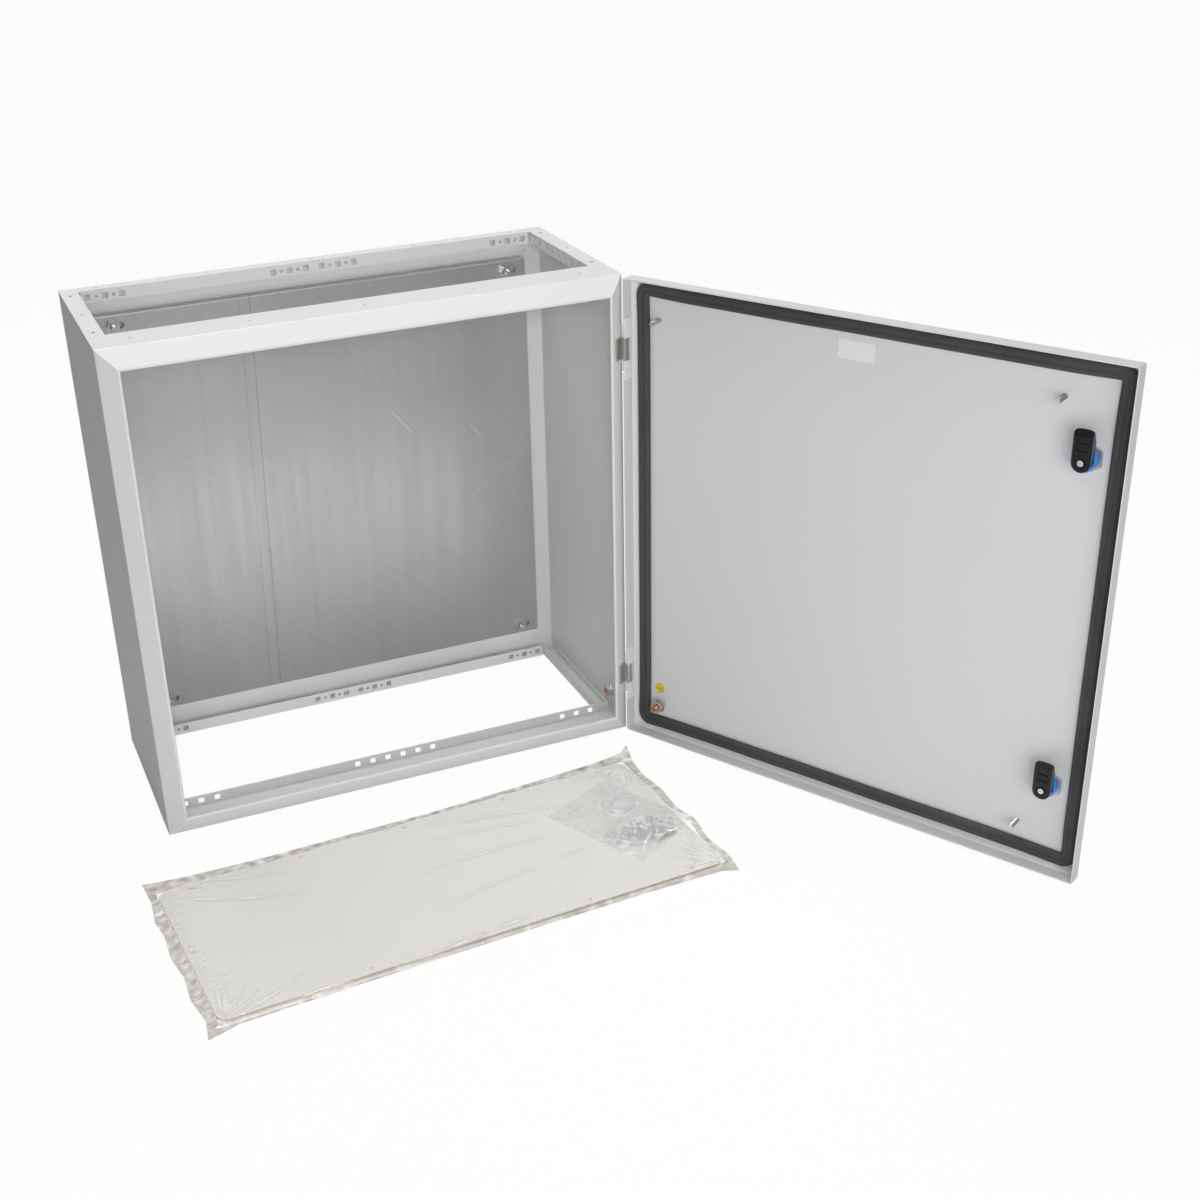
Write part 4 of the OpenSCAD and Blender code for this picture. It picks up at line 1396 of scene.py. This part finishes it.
@dataclass
class Studio:
    """Camera, floor, lamps and world."""

    stand: Vector = Vector((-0.504811, -2.017206, 0.832291))
    right: Vector = Vector((0.9262892, -0.3752969, -0.0337719))
    down: Vector = Vector((-0.2009675, -0.4162196, -0.8867769))
    ahead: Vector = Vector((0.3187481, 0.828199, -0.4609622))
    lens: float = 51.506
    shift: tuple[float, float] = (0.05511, 0.03742)
    floor_size: float = 24.0
    floor_white: float = 0.95
    room_mirrored: float = 0.4
    room_light: float = 0.05
    # painted reflection of the floor for metal, with painted shade under the body and a painted glow in front
    # of it: axis of the floor, where the tone starts and ends to change, and both tones
    front_shade_and_glow: tuple = (1, -0.28, -0.50, 0.18, 1.45)
    far_reflection_fade: tuple = (1, -0.66, -1.10, 0.0, 0.95)
    side_reflection_fade: tuple = (0, 0.15, 0.55, 0.0, 0.45)
    least_reflection: float = 0.3

    def camera(self) -> None:
        """Stands the camera at the viewing angle."""
        bpy.ops.object.camera_add(location=(0, 0, 0))
        camera = bpy.context.object
        camera.name = "view_camera"
        turn = Matrix((self.right, -self.down, -self.ahead)).transposed()
        camera.matrix_world = Matrix.Translation(self.stand) @ turn.to_4x4()
        camera.data.sensor_width = 36.0
        camera.data.lens = self.lens
        camera.data.shift_x, camera.data.shift_y = self.shift
        camera.data.clip_start, camera.data.clip_end = 0.05, 60.0
        bpy.context.scene.camera = camera

    def floor(self, level: float) -> None:
        """Lays the pale floor.

        Args:
            level: Its height in the row frame.
        """
        bpy.ops.mesh.primitive_plane_add(size=self.floor_size, location=(0, 0, level))
        floor = bpy.context.object
        floor.name = "studio_floor"
        with editing(floor):
            bpy.ops.mesh.select_all(action="SELECT")
            bpy.ops.mesh.subdivide(number_cuts=3)
        material = bpy.data.materials.new("pale_floor")
        material.use_nodes = True
        bench = Bench(material.node_tree)
        cloud = bench.speckle(bench.place(), 0.8)
        tone = bench.blend(cloud, (0.86, 0.86, 0.85), (0.89, 0.89, 0.88))
        matt = bench.put("BsdfDiffuse", {"Color": tone})
        glow = bench.put("Emission", {"Color": (1.0, 1.0, 1.0), "Strength": 1.0})
        path = bench.put("LightPath")
        seen = bench.sum("MAXIMUM", path.outputs["Is Camera Ray"], path.outputs["Is Transmission Ray"])
        seen = bench.sum("MULTIPLY", seen, self.floor_white)
        plain = bench.put("MixShader", {0: seen, 1: matt.outputs[0], 2: glow.outputs[0]})
        # glossy rays see the floor as a glowing painted reflection instead of its lit colour
        shown = bench.put("Emission", {"Color": (1.0, 1.0, 0.995), "Strength": self.painted_floor_reflection(bench)})
        mixed = bench.put(
            "MixShader", {0: path.outputs["Is Glossy Ray"], 1: plain.outputs[0], 2: shown.outputs[0]}
        )
        bench.put("OutputMaterial", {"Surface": mixed.outputs[0]})
        floor.data.materials.append(material)

    def painted_floor_reflection(self, bench: Bench) -> bpy.types.NodeSocket:
        """Painted reflection of the floor that metal sees: a painted glow full in front of the body, painted
        shade under it, and dimmer far before it.

        Args:
            bench: The floor material's bench.

        Returns:
            The tone's socket.
        """
        split = bench.put("SeparateXYZ", {0: bench.place()})
        front, far, side = (
            bench.ramp(split.outputs[axis], *span, ease="SMOOTHSTEP")
            for axis, *span in (self.front_shade_and_glow, self.far_reflection_fade, self.side_reflection_fade)
        )
        tone = bench.sum("SUBTRACT", bench.sum("SUBTRACT", front, far), side)
        return bench.sum("MAXIMUM", tone, self.least_reflection)

    def world(self) -> None:
        """Sets the soft white room."""
        world = bpy.data.worlds.new("white_room")
        world.use_nodes = True
        bpy.context.scene.world = world
        bench = Bench(world.node_tree)
        path = bench.put("LightPath")
        seen = bench.sum("MAXIMUM", path.outputs["Is Camera Ray"], path.outputs["Is Transmission Ray"])
        mirrored = bench.sum("MULTIPLY", path.outputs["Is Glossy Ray"], self.room_mirrored)
        strength = bench.sum("MAXIMUM", bench.sum("MAXIMUM", seen, mirrored), self.room_light)
        room = bench.put("Background", {"Color": (1.0, 1.0, 1.0), "Strength": strength})
        bench.put("OutputWorld", {"Surface": room.outputs[0]})

    def lamps(self) -> tuple[Lamp, ...]:
        """The front lamp, the two soft boxes overhead and the fill.

        Returns:
            The lamps in the order they are hung.
        """
        beside = self.stand + Vector((0.0, -0.05, 0.12))
        return (
            Lamp("front_lamp", beside, Vector((0.15, -0.2, 0.0)), 0.16, 6.0, (1.0, 0.995, 0.985)),
            Lamp("overhead_box", Vector((0.1, -0.7, 2.9)), Vector((0.1, -0.3, 0.0)), 2.2, 21.0),
            Lamp("rear_box", Vector((0.0, 0.5, 2.6)), Vector((0.0, 0.0, 0.0)), 1.6, 48.0),
            Lamp("fill_box", Vector((-0.3, -3.3, 0.4)), Vector((0.0, -0.2, 0.0)), 2.0, 55.0, (1.0, 1.0, 1.0),
                 mirrored=False),
        )

    def light(self) -> None:
        """Hangs all lamps."""
        for lamp in self.lamps():
            lamp.hang()


# ------------------------------------------------------------------- assembly


@dataclass
class Enclosure:
    """The whole object: it dresses the frame's nodes and adds the pieces on them."""

    effects: Effects
    door: DoorAxes
    plates: PlateAxes
    finishes: dict[str, bpy.types.Material] = field(default_factory=dict)

    def mix_finishes(self) -> None:
        """Builds every material of the object."""
        locks = [j for j in frame["record"]["behaviour"]["joints"] if j["name"].endswith("lock_turn")]
        panel = self.door.closed("door_panel")
        skin = panel[:, 1].min() + SHEET
        spots = []
        for joint in locks:
            spot = self.door.swing().inverted() @ Vector(joint["pos_m"])
            spot.y = skin
            spots.append(self.door.swing() @ spot)
        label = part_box("earth_label")
        coat = dict(roughness=0.46, change=0.012, change_scale=2.2, relief=0.10, wave=420.0, grit=1900.0)
        made = [
            Finish("powder_coat", (0.725, 0.73, 0.725), **coat),
            Finish("plate_coat", (0.83, 0.825, 0.805), **coat),
            # the knuckles wear the door's powder coat; this lighter copy of it is painted light, where the
            # front lamp falls on them
            Finish("lit_knuckle_coat", (0.80, 0.81, 0.82), 0.30, specular=0.7, change=0.03, change_scale=60.0,
                   relief=0.05),
            PlatedMetal("bracket_steel", (0.54, 0.535, 0.52), 0.34, metallic=1.0, change=0.10,
                        change_scale=60.0, relief=0.08, hue=(0.46, 0.44, 0.41)),
            # the door wears the same powder coat as the body; this darker copy is painted shade on its inner
            # face, which is turned away from the lamps
            DoorPaint("shaded_door_coat", (0.665, 0.67, 0.675), locks=tuple(spots),
                      axis=self.door.inward(), **coat),
            GalvanisedSheet(
                "galvanised_sheet", (0.58, 0.58, 0.58), 0.34, metallic=0.78, change=0.06, change_scale=3.0,
                relief=0.05, wave=180.0, grit=900.0, face=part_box("mounting_plate")[0].y,
            ),
            PlatedMetal("bright_zinc", (0.72, 0.72, 0.73), 0.24, metallic=1.0, change=0.08, change_scale=60.0,
                        relief=0.08, hue=(0.66, 0.63, 0.55)),
            PlatedMetal("ground_steel", (0.55, 0.55, 0.55), 0.3, metallic=1.0, change=0.06, change_scale=80.0,
                        hue=(0.50, 0.49, 0.46)),
            PlatedMetal("cast_zinc", (0.50, 0.50, 0.51), 0.38, metallic=1.0, change=0.08, change_scale=90.0,
                        relief=0.2, hue=(0.44, 0.44, 0.45)),
            PlatedMetal("copper_plating", (0.70, 0.36, 0.24), 0.33, metallic=1.0, change=0.10,
                        change_scale=120.0, hue=(0.52, 0.20, 0.13)),
            Finish("gasket_foam", (0.050, 0.050, 0.049), 0.62, specular=0.45, change=0.10, change_scale=12.0,
                   relief=0.35, wave=700.0, grit=2600.0),
            Finish("seal_strip", (0.74, 0.66, 0.50), 0.7, change=0.08, change_scale=20.0, relief=0.3),
            MouldedPlastic("blue_plastic", (0.02, 0.25, 0.84), 0.30, change=0.06, change_scale=70.0,
                           relief=0.06),
            MouldedPlastic("black_plastic", (0.006, 0.006, 0.007), 0.15, specular=0.25, change=0.15,
                           change_scale=90.0, relief=0.06, coat=0.15),
            EarthLabel("earth_label_film", (0.72, 0.62, 0.02), 0.35, change=0.04, change_scale=60.0,
                       relief=0.04, spot=(label[0] + label[1]) / 2, along=self.door.along()),
            Finish("blank_label_film", (0.79, 0.79, 0.80), 0.34, change=0.012, change_scale=20.0,
                   relief=0.03),
            # its dark beige is partly the film's tint and partly painted shade, strongest on the seams where
            # it veils most
            ClearFilm("clear_film", (0.39, 0.345, 0.285), 0.13, specular=0.9, change=0.10, change_scale=14.0,
                      relief=0.10, wave=45.0, grit=220.0, clear=0.025),
            ClearFilm("pouch_film", (0.88, 0.89, 0.90), 0.12, specular=0.9, change=0.06, change_scale=30.0,
                      relief=0.12, wave=80.0, grit=300.0, clear=0.08),
            PlatedMetal("screw_zinc", (0.76, 0.77, 0.79), 0.27, metallic=0.75, change=0.12,
                        change_scale=120.0, hue=(0.55, 0.55, 0.57)),
            PlatedMetal("flashed_steel", (0.68, 0.66, 0.63), 0.32, metallic=1.0, change=0.08,
                        change_scale=90.0, hue=(0.62, 0.55, 0.48)),
            Finish("plug_plastic", (0.72, 0.71, 0.66), 0.5, change=0.04, change_scale=90.0, relief=0.1),
            Finish("loop_plastic", (0.66, 0.74, 0.80), 0.18, change=0.06, change_scale=90.0, relief=0.05),
        ]
        for finish in made:
            self.finishes[finish.name] = finish.build(self.effects)
            LOG.info("finish %s", finish.name)

    def coat(self, obj: bpy.types.Object, finish: str) -> bpy.types.Object:
        """Gives a piece or node one finish all over."""
        obj.data.materials.clear()
        obj.data.materials.append(self.finishes[finish])
        return obj

    def dress_frame(self) -> None:
        """Gives every node of the frame its finish."""
        by_finish = {
            "powder_coat": ("body_wrapper", "top_frame", "bottom_frame"),
            "plate_coat": ("gland_plate_lower", "gland_plate_upper"),
            "lit_knuckle_coat": ("door_knuckles",),
            "bracket_steel": ("hinge_brackets",),
            "shaded_door_coat": ("door_panel",),
            "galvanised_sheet": ("mounting_plate",),
            "bright_zinc": ("door_studs", "door_earth_nuts", "upper_cam_screw", "lower_cam_screw",
                            "mounting_studs", "plate_spacers", "plate_washers", "plate_nuts",
                            "wall_earth_nuts"),
            "ground_steel": ("hinge_pins",),
            "cast_zinc": ("lock_collars", "lock_nuts", "upper_lock_spindle", "lower_lock_spindle"),
            "copper_plating": ("door_earth_stud", "wall_earth_stud"),
            "gasket_foam": ("door_gasket",),
            "seal_strip": ("gland_seal",),
            "blue_plastic": ("lock_barrels",),
            "black_plastic": ("upper_lock_cam", "lower_lock_cam"),
            "earth_label_film": ("earth_label",),
            "blank_label_film": ("rating_label",),
        }
        dressed = {node for nodes in by_finish.values() for node in nodes}
        for node in sorted(set(frame["nodes"]) - dressed):
            LOG.warning("no finish is named for %s", node)
        for finish, nodes in by_finish.items():
            for node in nodes:
                self.coat(frame["nodes"][node], finish)
        LOG.info("dressed %d nodes", len(dressed))

    def settle(self, piece: bpy.types.Object, finish: str, body: Body, slot: str, *nodes: str) -> None:
        """Finishes a new piece and ties it to the frame.

        Args:
            piece: The piece, in its place.
            finish: The name of its finish.
            body: The body it rides on.
            slot: The record's slot for the piece; not used.
            nodes: The nodes it stands for, if any.
        """
        self.coat(piece, finish)
        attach(piece, body.value)
        if nodes:
            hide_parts(*nodes)
        LOG.info("piece %s, %d faces", piece.name, len(piece.data.polygons))

    def fit_gasket(self) -> None:
        """Foams the gasket onto the door."""
        gasket = FoamGasket(self.door).build()
        self.settle(gasket, "gasket_foam", Body.DOOR, "foam", "door_gasket")

    def fit_studs(self) -> None:
        """Cuts the threads of all studs."""
        inward = self.door.inward()
        m8 = ThreadedStud(4.0 * MM, 1.25 * MM)
        plate = m8.set_on("mounting_studs", Vector((0, -1, 0)), "plate_stud_threads")
        self.settle(plate, "bright_zinc", Body.CASE, "zinc", "mounting_studs")
        weld_stud = ThreadedStud(3.0 * MM, 0.8 * MM, sides=20, collar=3.4 * MM, depth=0.35)
        door = weld_stud.set_on("door_studs", inward, "weld_studs")
        self.settle(door, "flashed_steel", Body.DOOR, "zinc", "door_studs")
        earth = m8.set_on("door_earth_stud", inward, "door_earth_thread")
        self.settle(earth, "copper_plating", Body.DOOR, "copper", "door_earth_stud")
        wall = m8.set_on("wall_earth_stud", Vector((-1, 0, 0)), "wall_earth_thread")
        self.settle(wall, "copper_plating", Body.CASE, "copper", "wall_earth_stud")

    def fit_plugs(self) -> None:
        """Closes the wall fixing holes with plain discs."""
        fixing = next(m for m in frame["record"]["mounts"] if m["name"] == "wall_fixing")
        middle, dims = Vector(fixing["pos_m"]), fixing["dims"]
        half_x, half_z = dims["spacing_x_mm"] / 2 * MM, dims["spacing_y_mm"] / 2 * MM
        radius = dims["hole_r_mm"] * MM - 0.1 * MM
        bpy.ops.mesh.primitive_cylinder_add(
            vertices=32, radius=radius, depth=1.1 * MM, location=(0, 0, -0.7 * MM)
        )
        first = bake_place(bpy.context.object)
        with editing(first):
            pick(first, Part.EDGES, lambda e: abs(e.verts[0].co.z - e.verts[1].co.z) < 1e-6)
            bpy.ops.mesh.bevel(offset=0.2 * MM, segments=2)
        soften(first, 40)
        plugs = []
        for side in (-1, 1):
            for level in (-1, 1):
                spot = middle + Vector((side * half_x, 0, level * half_z))
                plugs.append(seat(twin(first), pointing(Vector((0, 1, 0)), spot)))
        bpy.data.objects.remove(first)
        self.settle(weld(plugs, "fixing_plugs"), "plug_plastic", Body.CASE, "white_label")

    def pack_gland_kit(self) -> None:
        """Lays the pouch on the plates and the film bag over all."""
        pouch = ScrewPouch(self.plates)
        screws = pouch.screws()
        self.settle(screws, "screw_zinc", Body.GLAND_PACK, "zinc")
        self.settle(pouch.ring(), "loop_plastic", Body.GLAND_PACK, "white_label")
        small = pouch.film()
        self.settle(small, "pouch_film", Body.GLAND_PACK, "white_label")
        bag = FilmBag(
            self.plates,
            rear=((-10, -29), (42, -22), (132, -16), (342, -12), (452, -14), (562, -18), (605, -23),
                  (621, -37)),
            front=((-17, 268), (19, 258), (139, 256), (369, 255), (499, 256), (585, 259), (603, 268)),
            left=((-10, -29), (-9, 9), (-15, 49), (-12, 79), (-16, 119), (-12, 159), (-16, 199), (-11, 239),
                  (-17, 268)),
            right=((621, -37), (610, 1), (606, 35), (610, 75), (606, 115), (610, 155), (605, 195), (609, 235),
                   (603, 268)),
            cells=((420, 200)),
            creases=bag_creases(),
            heap=pouch.heap,
        ).build()
        self.settle(bag, "clear_film", Body.GLAND_PACK, "white_label")

    def build(self) -> None:
        """Dresses the frame and adds the pieces in their order."""
        self.mix_finishes()
        self.dress_frame()
        self.fit_gasket()
        self.fit_studs()
        self.fit_plugs()
        self.pack_gland_kit()


def main() -> None:
    """Builds the studio and the enclosure."""
    logging.basicConfig(level=logging.INFO, format="%(name)s: %(message)s")
    clear_selection()
    studio = Studio()
    studio.camera()
    effects = Effects(make_drift(), make_peel(), make_hairlines())
    Enclosure(effects, DoorAxes.read(), PlateAxes.read()).build()
    studio.floor(cad_box[0].z)
    studio.world()
    studio.light()
    bpy.context.scene.view_settings.view_transform = "Standard"


if __name__ == "__main__":
    main()
